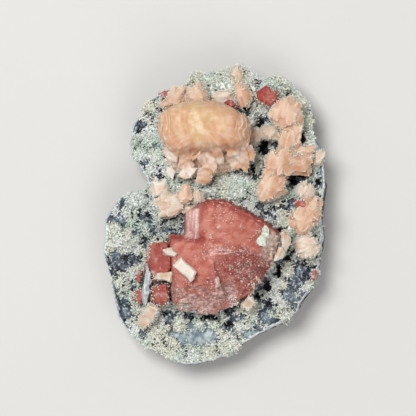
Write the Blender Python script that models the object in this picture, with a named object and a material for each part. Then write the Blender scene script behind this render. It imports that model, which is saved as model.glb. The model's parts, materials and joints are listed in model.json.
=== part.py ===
"""Heulandite specimen: a basalt plate with a drusy chalcedony crust, which carries one large red heulandite,
a peach stilbite ball, and smaller crystals of both minerals.

The plate lies on its sawn back, so +Z is up and out of the crust. X runs across the plate and Y along it.
The origin is at the middle of the back. Lengths below are in millimetres on a plate 110 long, and become
metres when a mesh is made.
"""

import math

import bmesh
import bpy
import numpy as np
from mathutils import Matrix, Vector, geometry

# ---------------------------------------------------------------- driving dimensions
PLATE_LENGTH = 0.110       # along Y, in metres
MM = PLATE_LENGTH / 110    # what one unit of the lengths below measures
RIM_HEIGHT = 15.5          # the crust's edge, above the sawn back
CRUST_RISE = 2.2           # how far the crust swells above its edge, away from the rim
RIM_ROUNDING = 5.0         # the strip inside the edge over which it swells
LUMP_HEIGHT = 1.9          # lumps of the drusy crust
FACE_CELL = 3.4            # spacing of the points that the crust's facets join
CELL_ROW = 0.87            # how far apart their rows are, as a share of that: a honeycomb's
CELL_JITTER = 0.28         # how far each is moved from its place, as a share of it too
CELL_MARGIN = 0.55         # how far the rim's own points keep them off
OUTLINE_POINTS = 98
ROOT_DEPTH = 11.0          # crystals are modelled down to here, then cut off by the crust
CLEARANCE = 0.35           # air kept between two solids that grew together
FLATNESS = math.radians(1.0)    # facets closer in direction than this are merged
LOBE_DEPTH = 0.15          # how far a sheaf's lobes fall off at their sides, as a share of its length
BLADE_SHARE = 0.45         # how much of its part of the arc a blade fills, each way
SHINGLE = 0.09             # how much longer a blade's inner edge is, as a share
UNEVEN_LENGTH = 0.08       # how much the blades of a sheaf differ in length, place and width
UNEVEN_WIDTH = 0.14

# The plate's broken edge, anticlockwise from the top, seen from above.
PLATE_OUTLINE = [
    (9.5, 55.1), (6.1, 53.6), (-0.7, 51.8), (-8.2, 51.6), (-11.6, 48.1), (-14.2, 46.3), (-21.0, 44.4),
    (-22.9, 42.6), (-27.0, 40.3), (-28.2, 35.9), (-30.4, 32.9), (-31.5, 24.9), (-30.8, 20.6), (-27.7, 17.3),
    (-25.2, 12.4), (-24.8, 10.2), (-28.5, 8.9), (-34.6, 6.9), (-38.3, 2.4), (-40.6, -1.4), (-40.4, -9.2),
    (-41.3, -12.1), (-40.2, -17.1), (-38.6, -23.1), (-37.1, -32.1), (-35.9, -37.4), (-32.2, -42.6),
    (-27.6, -47.6), (-20.9, -50.6), (-12.6, -54.9), (-5.9, -54.3), (-0.7, -53.6), (6.8, -49.9),
    (17.2, -43.3), (29.2, -36.6), (31.4, -32.1), (35.1, -26.9), (37.4, -20.2), (38.9, -13.7), (39.2, -6.0),
    (38.9, -0.9), (40.4, 9.5), (40.4, 14.8), (39.3, 20.0), (36.7, 27.5), (35.6, 32.7), (36.0, 36.5),
    (33.0, 42.5), (28.6, 47.0), (23.3, 51.2), (17.7, 49.6), (14.3, 50.9), (11.3, 53.8),
]

# A stilbite blade seen on its broad face: shares of its length and of its width, going round from its foot.
BLADE = [
    (0.10, -0.22), (0.72, -0.50), (0.93, -0.38), (1.00, -0.12), (1.00, 0.12), (0.93, 0.38), (0.72, 0.50),
    (0.10, 0.22),
]

# Swellings (+) and hollows (-) of the crust: x, y, radius, height.
SWELLINGS = [
    (2.0, -16.0, 17.0, 2.5),      # the bed of the large heulandite
    (-4.0, 30.0, 14.0, 2.0),      # the bed of the stilbite ball
    (29.0, 22.0, 9.0, 2.5),       # the ridge under the right-hand sheaves
    (30.0, -3.0, 6.0, 1.5),
    (-14.0, 6.0, 6.0, 2.0),
    (-33.0, -4.0, 6.0, 1.5),
    (8.0, 48.0, 5.0, 1.5),
    (17.5, 25.5, 3.2, -8.0),      # the vug between the ball and the right-hand sheaves
    (15.5, 33.5, 2.6, -6.5),
    (13.3, 16.8, 2.0, -5.0),
    (16.7, 13.5, 2.0, -3.5),
    (27.7, 11.4, 2.2, -4.5),
    (36.6, 11.5, 1.8, -4.0),
    (10.4, 38.9, 1.8, -3.5),
    (21.5, -21.0, 4.2, -7.5),     # the crevice under the large heulandite's right-hand side
    (26.5, -14.2, 3.4, -6.5),
    (16.5, -28.5, 3.0, -5.0),
    (23.3, -5.3, 2.4, -4.0),
    (-30.4, -14.0, 4.5, -3.5),    # bare windows in the crust, down to the chalcedony
    (-33.5, -31.5, 4.5, -3.0),
    (-33.6, -1.8, 2.0, -2.5),
    (-25.3, -0.9, 3.0, -3.0),
    (-16.9, -5.4, 2.4, -3.0),
    (-4.0, -42.0, 8.0, -2.5),
    (-16.0, -35.0, 2.2, -3.0),
    (-3.7, -36.8, 2.2, -3.0),
    (2.7, -40.4, 2.6, -3.5),
    (17.9, -34.0, 2.8, -3.0),
    (33.5, -21.0, 4.0, -3.0),
]

# The plate's side, from the crust's edge down: its height, how far it stands in from the outline, first where
# the break slants in below the crust and then where it is almost upright and the basalt stands out past the
# crust, and how many times its outline is evened out.
SIDE_RINGS = [(None, 0.0, 1.3, 0), (12.5, 0.6, 0.1, 1), (8.0, 3.0, 0.2, 3), (3.0, 6.0, 1.5, 8),
              (0.0, 7.2, 2.6, 12)]
UPRIGHT_SIDE = -30.0       # the bearing of the upright break, in degrees from +X


# ---------------------------------------------------------------- numbers
def closed_curve(points, count):
    """A closed Catmull-Rom curve through the points, as count points evenly spaced along it."""
    p = np.array(points, float)
    before, after, far = np.roll(p, 1, 0), np.roll(p, -1, 0), np.roll(p, -2, 0)
    t = np.linspace(0, 1, 12, endpoint=False)[:, None, None]
    fine = 0.5 * (
        2 * p + (after - before) * t
        + (2 * before - 5 * p + 4 * after - far) * t**2
        + (3 * p - before - 3 * after + far) * t**3
    )
    fine = fine.transpose(1, 0, 2).reshape(-1, 2)
    loop = np.vstack([fine, fine[:1]])
    along = np.concatenate([[0], np.cumsum(np.linalg.norm(np.diff(loop, axis=0), axis=1))])
    at = np.linspace(0, along[-1], count, endpoint=False)
    return np.stack([np.interp(at, along, loop[:, k]) for k in (0, 1)], axis=1)


def noise(x, y, cell, seed):
    """Smooth value noise from -1 to 1 whose lumps are about one cell across."""
    table = np.random.default_rng(seed).uniform(-1, 1, (64, 64))
    u, v = x / cell, y / cell
    i, j = np.floor(u).astype(int), np.floor(v).astype(int)
    fu, fv = u - i, v - j
    fu, fv = fu * fu * (3 - 2 * fu), fv * fv * (3 - 2 * fv)
    low = table[i % 64, j % 64] * (1 - fu) + table[(i + 1) % 64, j % 64] * fu
    high = table[i % 64, (j + 1) % 64] * (1 - fu) + table[(i + 1) % 64, (j + 1) % 64] * fu
    return low * (1 - fv) + high * fv


def distance_to_edge(points, outline):
    """How far each point is from the closed outline."""
    a, b = outline, np.roll(outline, -1, 0)
    ab = b - a
    ap = points[:, None] - a[None]
    t = np.clip((ap * ab).sum(-1) / (ab * ab).sum(-1), 0, 1)
    return np.linalg.norm(ap - t[..., None] * ab, axis=-1).min(1)


def inside(points, outline):
    """Whether each point lies inside the closed outline, by counting crossings."""
    a, b = outline, np.roll(outline, -1, 0)
    x, y = points[:, None, 0], points[:, None, 1]
    crosses = (a[:, 1] > y) != (b[:, 1] > y)
    run = (b[:, 0] - a[:, 0]) * (y - a[:, 1]) / np.where(a[:, 1] == b[:, 1], 1, b[:, 1] - a[:, 1]) + a[:, 0]
    return (crosses & (x < run)).sum(1) % 2 == 1


def crust_height(points, edge_distance):
    """The crust above the back: its edge, the swell away from the rim, the named swellings, and lumps."""
    x, y = points[:, 0], points[:, 1]
    swell = np.clip(edge_distance / RIM_ROUNDING, 0, 1)
    height = RIM_HEIGHT + 1.2 * noise(x, y, 14, 1) + CRUST_RISE * swell * (2 - swell)
    for cx, cy, radius, rise in SWELLINGS:
        height += rise * np.exp(-((x - cx) ** 2 + (y - cy) ** 2) / radius**2)
    lumps = noise(x, y, 4.5, 2) * 0.6 + noise(x, y, 2.3, 3) * 0.6
    return height + LUMP_HEIGHT * lumps * (0.4 + 0.6 * swell)


# ---------------------------------------------------------------- Blender
def mineral(name, colour, roughness):
    made = bpy.data.materials.new(name)
    made.use_nodes = True
    shader = made.node_tree.nodes["Principled BSDF"]
    shader.inputs["Base Color"].default_value = (*colour, 1)
    shader.inputs["Roughness"].default_value = roughness
    return made


def solid(name, mesh, finish):
    made = bpy.data.objects.new(name, mesh)
    bpy.context.scene.collection.objects.link(made)
    mesh.materials.clear()
    mesh.materials.append(finish)
    return made


def hull(points):
    """The smallest convex solid that holds the points, as a mesh in metres."""
    bm = bmesh.new()
    for point in points:
        bm.verts.new(Vector(point) * MM)
    bmesh.ops.convex_hull(bm, input=bm.verts)
    bmesh.ops.delete(bm, geom=[v for v in bm.verts if not v.link_faces], context="VERTS")
    bmesh.ops.recalc_face_normals(bm, faces=bm.faces)
    mesh = bpy.data.meshes.new("hull")
    bm.to_mesh(mesh)
    bm.free()
    return mesh


def is_closed(bm):
    return all(len(edge.link_faces) == 2 for edge in bm.edges)


def box_volume(vertices):
    points = np.array([v.co for v in vertices])
    return np.prod(points.max(0) - points.min(0))


def largest_body(mesh):
    """Deletes every body of the mesh but the one with the largest box, and merges its coplanar facets where
    that leaves it closed."""
    bm = bmesh.new()
    bm.from_mesh(mesh)
    bmesh.ops.remove_doubles(bm, verts=bm.verts, dist=0.003 * MM)
    left, bodies = set(bm.verts), []
    while left:
        body, front = set(), [left.pop()]
        while front:
            vertex = front.pop()
            body.add(vertex)
            near = {edge.other_vert(vertex) for edge in vertex.link_edges} & left
            left -= near
            front += near
        bodies.append(body)
    keep = max(bodies, key=box_volume)
    bmesh.ops.delete(bm, geom=[v for v in bm.verts if v not in keep], context="VERTS")
    merged = bm.copy()
    bmesh.ops.dissolve_limit(merged, angle_limit=FLATNESS, verts=merged.verts, edges=merged.edges)
    bmesh.ops.triangulate(merged, faces=merged.faces)
    if is_closed(merged):
        bm, merged = merged, bm
    bm.to_mesh(mesh)
    bm.free()
    merged.free()
    return mesh


def combined(first, others, operation):
    """first joined with the other meshes (UNION) or cut by them (DIFFERENCE), as one closed body."""
    scene = bpy.context.scene.collection
    helpers = bpy.data.collections.new("helpers")
    scene.children.link(helpers)
    base = bpy.data.objects.new("base", first)
    scene.objects.link(base)
    for other in others:
        helpers.objects.link(bpy.data.objects.new("helper", other))
    boolean = base.modifiers.new("boolean", "BOOLEAN")
    boolean.operation = operation
    boolean.operand_type = "COLLECTION"
    boolean.collection = helpers
    boolean.solver = "EXACT"
    bpy.context.view_layer.update()
    graph = bpy.context.evaluated_depsgraph_get()
    made = bpy.data.meshes.new_from_object(base.evaluated_get(graph))
    for helper in list(helpers.objects):
        bpy.data.objects.remove(helper)
    bpy.data.objects.remove(base)
    bpy.data.collections.remove(helpers)
    return largest_body(made)


def swollen_hull(mesh, by):
    """The convex hull of the mesh, with its faces moved out by this many millimetres."""
    around = hull([v.co / MM for v in mesh.vertices])
    bm = bmesh.new()
    bm.from_mesh(around)
    bm.normal_update()
    moves = [v.normal * min(v.calc_shell_factor(), 3.0) * by * MM for v in bm.verts]
    for vertex, move in zip(bm.verts, moves):
        vertex.co += move
    bm.to_mesh(around)
    bm.free()
    return around


def raised(mesh, by):
    made = mesh.copy()
    made.transform(Matrix.Translation((0, 0, by * MM)))
    return made


def box_of(mesh):
    points = np.empty(len(mesh.vertices) * 3)
    mesh.vertices.foreach_get("co", points)
    points = points.reshape(-1, 3)
    return points.min(0), points.max(0)


class Specimen:
    """The plate, and the crystals added to it one by one, each cut off where it meets an earlier one."""

    def __init__(self, plate, finish):
        self.objects = [solid("matrix", plate, finish)]
        self.cutters = [raised(plate, 1.4 * CLEARANCE)]

    def add(self, name, finish, *bodies):
        """Adds one piece, the union of its bodies. Later pieces keep clear of the hull of each body."""
        mesh = combined(bodies[0], bodies[1:], "UNION") if len(bodies) > 1 else bodies[0]
        low, high = box_of(mesh)
        near = []
        for cutter in self.cutters:
            cutter_low, cutter_high = box_of(cutter)
            if (low < cutter_high).all() and (high > cutter_low).all():
                near.append(cutter)
        cutters = [swollen_hull(body, CLEARANCE) for body in bodies]
        self.objects.append(solid(name, combined(mesh, near, "DIFFERENCE"), finish))
        self.cutters += cutters


# ---------------------------------------------------------------- the plate
def inward_of(outline):
    """The direction into the plate at each point of its anticlockwise outline."""
    ahead = np.roll(outline, -1, 0) - np.roll(outline, 1, 0)
    return np.stack([-ahead[:, 1], ahead[:, 0]], 1) / np.linalg.norm(ahead, axis=1)[:, None]


def evened(outline, times):
    """The closed outline with each point moved towards its neighbours, so many times over."""
    for _ in range(times):
        outline = (np.roll(outline, 1, 0) + 2 * outline + np.roll(outline, -1, 0)) / 4
    return outline


def crust_points(edge):
    """The plan positions of the crust's corners: its edge, then a jittered honeycomb inside it."""
    random = np.random.default_rng(5)
    low, high = edge.min(0) - FACE_CELL, edge.max(0) + FACE_CELL
    rows = np.arange(low[1], high[1], FACE_CELL * CELL_ROW)
    columns = np.arange(low[0], high[0], FACE_CELL)
    grid = np.array([(x + (k % 2) * FACE_CELL / 2, y) for k, y in enumerate(rows) for x in columns])
    grid += random.uniform(-CELL_JITTER, CELL_JITTER, grid.shape) * FACE_CELL
    grid = grid[inside(grid, edge)]
    return np.vstack([edge, grid[distance_to_edge(grid, edge) > CELL_MARGIN * FACE_CELL]])


def plate_mesh():
    """The plate: a crust of irregular facets inside the outline, a broken side of rings, and a flat back."""
    outline = closed_curve(PLATE_OUTLINE, OUTLINE_POINTS)
    bearing = np.arctan2(outline[:, 1], outline[:, 0]) - math.radians(UPRIGHT_SIDE)
    upright = np.clip(0.5 + 0.9 * np.cos(bearing), 0, 1)
    rings = []
    for height, slanting, near, times in SIDE_RINGS:
        even = evened(outline, times)
        inset = slanting + (near - slanting) * upright
        rough = noise(even[:, 0], even[:, 1], 5, 20 + int(height or 0)) * (0.9 if height else 0)
        rings.append(even + inward_of(even) * (inset + rough)[:, None])

    plan = crust_points(rings[0])
    border = [(k, (k + 1) % OUTLINE_POINTS) for k in range(OUTLINE_POINTS)]
    flat, _, faces, *_ = geometry.delaunay_2d_cdt([Vector(p) for p in plan], border, [], 1, 1e-6)
    plan = np.array([tuple(p) for p in flat])
    heights = crust_height(plan, distance_to_edge(plan, rings[0]))

    bm = bmesh.new()
    top = [bm.verts.new((x * MM, y * MM, z * MM)) for (x, y), z in zip(plan, heights)]
    for face in faces:
        bm.faces.new([top[k] for k in face])
    above = top[:OUTLINE_POINTS]
    for ring, (height, *_) in zip(rings[1:], SIDE_RINGS[1:]):
        wander = noise(outline[:, 0], outline[:, 1], 7, 40 + int(height)) * (1.0 if height else 0)
        below = [bm.verts.new((x * MM, y * MM, (height + w) * MM)) for (x, y), w in zip(ring, wander)]
        for k in range(OUTLINE_POINTS):
            after = (k + 1) % OUTLINE_POINTS
            bm.faces.new([above[k], below[k], below[after], above[after]])
        above = below
    bm.faces.new(above)
    bmesh.ops.recalc_face_normals(bm, faces=bm.faces)
    mesh = bpy.data.meshes.new("matrix")
    bm.to_mesh(mesh)
    bm.free()
    return mesh


# ---------------------------------------------------------------- crystal shapes
def heulandite(crown, girdle, root=0.8):
    """A coffin-shaped crystal: a faceted crown above a girdle, narrowing to its root."""
    middle = np.mean(girdle, axis=0)
    roots = [((x - middle[0]) * root + middle[0], (y - middle[1]) * root + middle[1], ROOT_DEPTH)
             for x, y, _ in girdle]
    return hull([*crown, *girdle, *roots])


def slab(corners, thickness, bevel=0.8):
    """A bevelled tablet: its upper face lies inside the corners, and it is one thickness deep."""
    middle = np.mean(corners, axis=0)
    points = []
    for share, drop in ((bevel, 0), (1, 0.35), (1, 0.75), (0.85, 1)):
        points += [np.array(c) * share + middle * (1 - share) - (0, 0, drop * thickness) for c in corners]
    return hull(points)


def lump(centre, radii, seed, count):
    """A knobbly grain: points spread over an ellipsoid, joined by flat facets."""
    random = np.random.default_rng(seed)
    spread = random.normal(size=(count, 3))
    spread /= np.linalg.norm(spread, axis=1)[:, None]
    return hull(np.array(centre) + spread * radii * random.uniform(0.85, 1, (count, 1)))


def blade(foot, along, across, length, width, thickness, roof=0.3):
    """A flat blade that widens from its foot to its shoulders and ends in a roof with a short ridge."""
    along, across = Vector(along).normalized(), Vector(across)
    across = (across - along * across.dot(along)).normalized()
    through = along.cross(across)
    shoulder = length - min(roof * width, 0.6 * length)
    points = [(length, side * width * 0.14, 0) for side in (1, -1)]
    for distance, share in ((0, 0.55), (shoulder, 1.0)):
        for side in (1, -1):
            for face in (1, -1):
                points.append((distance, side * width / 2 * share, face * thickness / 2 * share))
    return hull([Vector(foot) + along * a + across * b + through * c for a, b, c in points])


def standing_blade(start, end, top, thickness, lean):
    """A blade rooted in the crust, whose crest runs between two points of the plan at the height `top`."""
    along = Vector((*lean, 1)).normalized()
    across = Vector((end[0] - start[0], end[1] - start[1], 0))
    crest = Vector(((start[0] + end[0]) / 2, (start[1] + end[1]) / 2, top))
    length = (top - ROOT_DEPTH) / along.z
    return blade(crest - along * length, along, across, length, across.length, thickness)


def lofted(loops):
    """One closed body through a row of closed loops, which all have the same number of points."""
    bm = bmesh.new()
    rings = [[bm.verts.new(point * MM) for point in loop] for loop in loops]
    for ring, following in zip(rings, rings[1:]):
        for k in range(len(ring)):
            after = (k + 1) % len(ring)
            bm.faces.new([ring[k], ring[after], following[after], following[k]])
    bm.faces.new(rings[0])
    bm.faces.new(rings[-1])
    bmesh.ops.triangulate(bm, faces=bm.faces)
    bmesh.ops.recalc_face_normals(bm, faces=bm.faces)
    mesh = bpy.data.meshes.new("lofted")
    bm.to_mesh(mesh)
    bm.free()
    return mesh


def sheaf(foot, along, across, length, width, arc, count, seed, rough=1.0, narrowing=0.0, lobes=1):
    """A wheat sheaf of stilbite blades as one closed body. The blades stand side by side round an arc of
    twice `arc` degrees, each broad across the arc, and each a little longer or further over than the next, so
    that its edge is a ledge. Each blade's outer edge is shorter than its inner one, as on a shingle.
    `narrowing` is the share of the width that the outermost blades lose, and the blades are longest amid each
    lobe."""
    random = np.random.default_rng(seed)
    along, across = Vector(along).normalized(), Vector(across)
    across = (across - along * across.dot(along)).normalized()
    outward = across.cross(along)
    loops = []
    for k in range(count):
        share = (k + 0.5) / count
        reach = length * (1 - LOBE_DEPTH * (1 - abs(math.sin(math.pi * lobes * share)) ** 0.6))
        reach *= 1 + rough * random.uniform(-UNEVEN_LENGTH, UNEVEN_LENGTH)
        broad = width * (1 - narrowing * (2 * share - 1) ** 2)
        broad *= 1 + rough * random.uniform(-UNEVEN_WIDTH, UNEVEN_WIDTH)
        shift = width * rough * random.uniform(-UNEVEN_LENGTH, UNEVEN_LENGTH)
        for edge in (-BLADE_SHARE, BLADE_SHARE):
            angle = math.radians(arc) * (2 * (k + 0.5 + edge) / count - 1)
            axis = along * math.cos(angle) + outward * math.sin(angle)
            far = reach * (1 - SHINGLE * rough * edge * np.sign(2 * share - 1))
            loops.append([Vector(foot) + axis * (u * far) + across * (v * broad + shift) for u, v in BLADE])
    return lofted(loops)


# ---------------------------------------------------------------- heulandite
def add_heulandites(specimen):
    red = mineral("red heulandite", (0.58, 0.13, 0.10), 0.35)
    # A tabular body whose broad face slopes up to a blunt edge, with a pearly cleavage slope on its left, and
    # a lower block grown against it in parallel.
    specimen.add(
        "heulandite_large", red,
        heulandite(
            crown=[(-0.6, 5.0, 29), (5.2, 4.2, 30), (18.7, -3.3, 31), (22.8, -7.1, 29.5), (17.5, -13.6, 36),
                   (7.2, -14.4, 38), (-2.4, -16.1, 36.5), (-3.7, 2.5, 30), (-3.2, -9.7, 35)],
            girdle=[(-1.7, 6.0, 25), (5.5, 5.3, 25), (19.0, -2.3, 26), (23.7, -6.6, 25), (24.7, -11.6, 24),
                    (20.1, -20.1, 24), (14.7, -27.5, 23), (8.2, -33.2, 22), (-0.4, -36.0, 22),
                    (-6.0, -33.0, 22), (-9.5, 0.6, 24.5), (-9.8, -8.3, 25), (-11.4, 0.5, 19),
                    (-11.7, -8.1, 19)],
            root=0.78,
        ),
        heulandite(
            crown=[(-15.8, -8.8, 29.5), (-8.9, -8.6, 31.5), (-2.4, -10.7, 34.2), (0.8, -17.5, 37.2),
                   (-2.7, -25.5, 34), (-11.1, -27.2, 31), (-14.5, -17.3, 31.5), (4.0, -27.0, 32.5)],
            girdle=[(-16.5, -7.2, 25), (-2.9, -8.4, 28), (-15.7, -30.7, 23), (-12.6, -35.0, 22),
                    (-0.4, -36.3, 22), (7.0, -32.0, 23)],
            root=0.85,
        ),
    )
    specimen.add("heulandite_left", red, heulandite(
        crown=[(-22.6, -10.8, 26), (-16.6, -10.2, 29), (-14.9, -17.3, 30.5), (-17.0, -21.9, 28),
               (-23.1, -21.1, 25)],
        girdle=[(-25.2, -12.8, 21), (-25.6, -21.4, 20), (-22.9, -25.0, 20), (-16.0, -24.0, 23),
                (-15.5, -10.4, 24), (-21.3, -9.8, 22)]))
    specimen.add("heulandite_lower_left", red, heulandite(
        crown=[(-22.4, -26.0, 25), (-17.1, -25.2, 27), (-16.5, -30.7, 26), (-21.0, -31.8, 24)],
        girdle=[(-24.1, -25.9, 19), (-24.1, -30.8, 19), (-20.8, -33.8, 19), (-16.8, -32.9, 20),
                (-16.3, -25.0, 21)]))
    specimen.add("heulandite_far_left", red, heulandite(
        crown=[(-28.5, -27.5, 22), (-25.3, -26.8, 24), (-25.3, -30.4, 23.5), (-27.8, -31.1, 21.5)],
        girdle=[(-30.1, -27.9, 17.5), (-30.1, -30.8, 17.5), (-27.5, -32.4, 17.5), (-25.0, -31.5, 18),
                (-25.1, -26.4, 18)]))
    specimen.add("heulandite_sliver_left", red, heulandite(
        crown=[(-27.8, -20.0, 21.5), (-26.6, -20.7, 22.5), (-27.3, -24.3, 21.5), (-28.6, -23.2, 20.5)],
        girdle=[(-29.4, -22.1, 17), (-27.8, -19.2, 17), (-26.2, -20.5, 17), (-27.2, -25.2, 17)]))
    specimen.add("heulandite_top", red, heulandite(
        crown=[(14.6, 43.5, 21.5), (18.3, 45.4, 23.5), (21.8, 43.7, 23), (22.5, 41.2, 22), (19.3, 38.4, 21.5),
               (15.3, 41.0, 21)],
        girdle=[(14.0, 44.1, 18), (18.1, 46.7, 18), (22.5, 44.6, 18), (22.9, 40.6, 18), (19.1, 37.9, 18),
                (14.3, 40.7, 18)]))
    specimen.add("heulandite_by_ball", red, slab(
        [(3.2, 40.2, 26), (6.4, 40.8, 27.5), (8.6, 38.4, 26.5), (5.6, 37.6, 27)], 8.0))
    specimen.add("heulandite_upper_left", red, slab(
        [(-21.2, 44.0, 19.5), (-16.6, 45.0, 21), (-14.7, 43.5, 21.5), (-18.6, 42.0, 21)], 5.0))
    specimen.add("heulandite_right", red, slab(
        [(28.3, 4.8, 22), (31.9, 5.2, 24), (33.4, 2.7, 24), (29.4, -0.4, 22)], 7.0))
    specimen.add("heulandite_sliver_right", red, slab(
        [(34.5, -19.7, 20), (36.1, -20.4, 20), (35.6, -24.0, 20), (34.0, -23.3, 20)], 6.0))


# ---------------------------------------------------------------- stilbite
def ball_bodies():
    """The ball: a core, blades whose tips run right over it from one side to the other in three lobes, a low
    mass at its lower edge, and the blades that stand on that, each given by its crest's two ends, height,
    thickness and lean."""
    bodies = [
        sheaf((-2.7, 30.8, 23.5), (-0.05, 0, 1), (0.05, 1, 0), 17.3, 20, 108, 14, 11,
              rough=0.45, narrowing=0.5, lobes=3),
        lump((-2.7, 30.8, 22.0), (13.5, 9.2, 12.0), 10, 40),
        lump((-2.8, 18.8, 16.5), (12.0, 7.0, 6.5), 12, 26),
    ]
    for start, end, top, thickness, lean in (
        ((-18.6, 23.6), (-12.1, 18.2), 24.0, 2.4, (-0.35, -0.45)),
        ((-16.5, 24.6), (-10.0, 19.6), 27.0, 2.6, (-0.25, -0.35)),
        ((-13.1, 22.1), (-8.8, 15.6), 25.0, 2.4, (-0.15, -0.25)),
        ((-8.2, 18.3), (-2.5, 21.9), 27.0, 2.6, (0.10, -0.35)),
        ((-11.0, 16.4), (-6.7, 20.0), 24.0, 2.8, (0.00, -0.30)),
        ((-11.6, 13.3), (-6.2, 16.2), 22.5, 2.6, (0.00, -0.40)),
        ((-6.6, 11.6), (-1.2, 16.4), 22.5, 4.6, (0.10, -0.25)),
        ((-0.3, 23.6), (4.3, 17.1), 28.0, 2.4, (0.10, -0.30)),
        ((-3.4, 19.2), (-0.2, 15.6), 25.0, 2.6, (0.00, -0.35)),
        ((4.2, 21.9), (9.2, 16.9), 26.0, 2.8, (0.20, -0.30)),
        ((4.7, 17.1), (11.1, 20.0), 23.5, 3.0, (0.20, -0.35)),
        ((9.0, 22.8), (12.2, 17.1), 23.5, 2.8, (0.35, -0.20)),
        ((8.5, 23.6), (12.1, 26.8), 27.5, 2.4, (0.35, -0.15)),
        ((12.1, 33.9), (12.8, 27.5), 27.0, 2.6, (0.40, 0.00)),
        ((-19.8, 34.2), (-18.4, 26.3), 26.0, 2.6, (-0.35, 0.00)),
        ((-19.7, 28.3), (-16.8, 22.9), 24.0, 2.8, (-0.35, -0.15)),
    ):
        bodies.append(standing_blade(start, end, top, thickness, lean))
    return bodies


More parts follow.
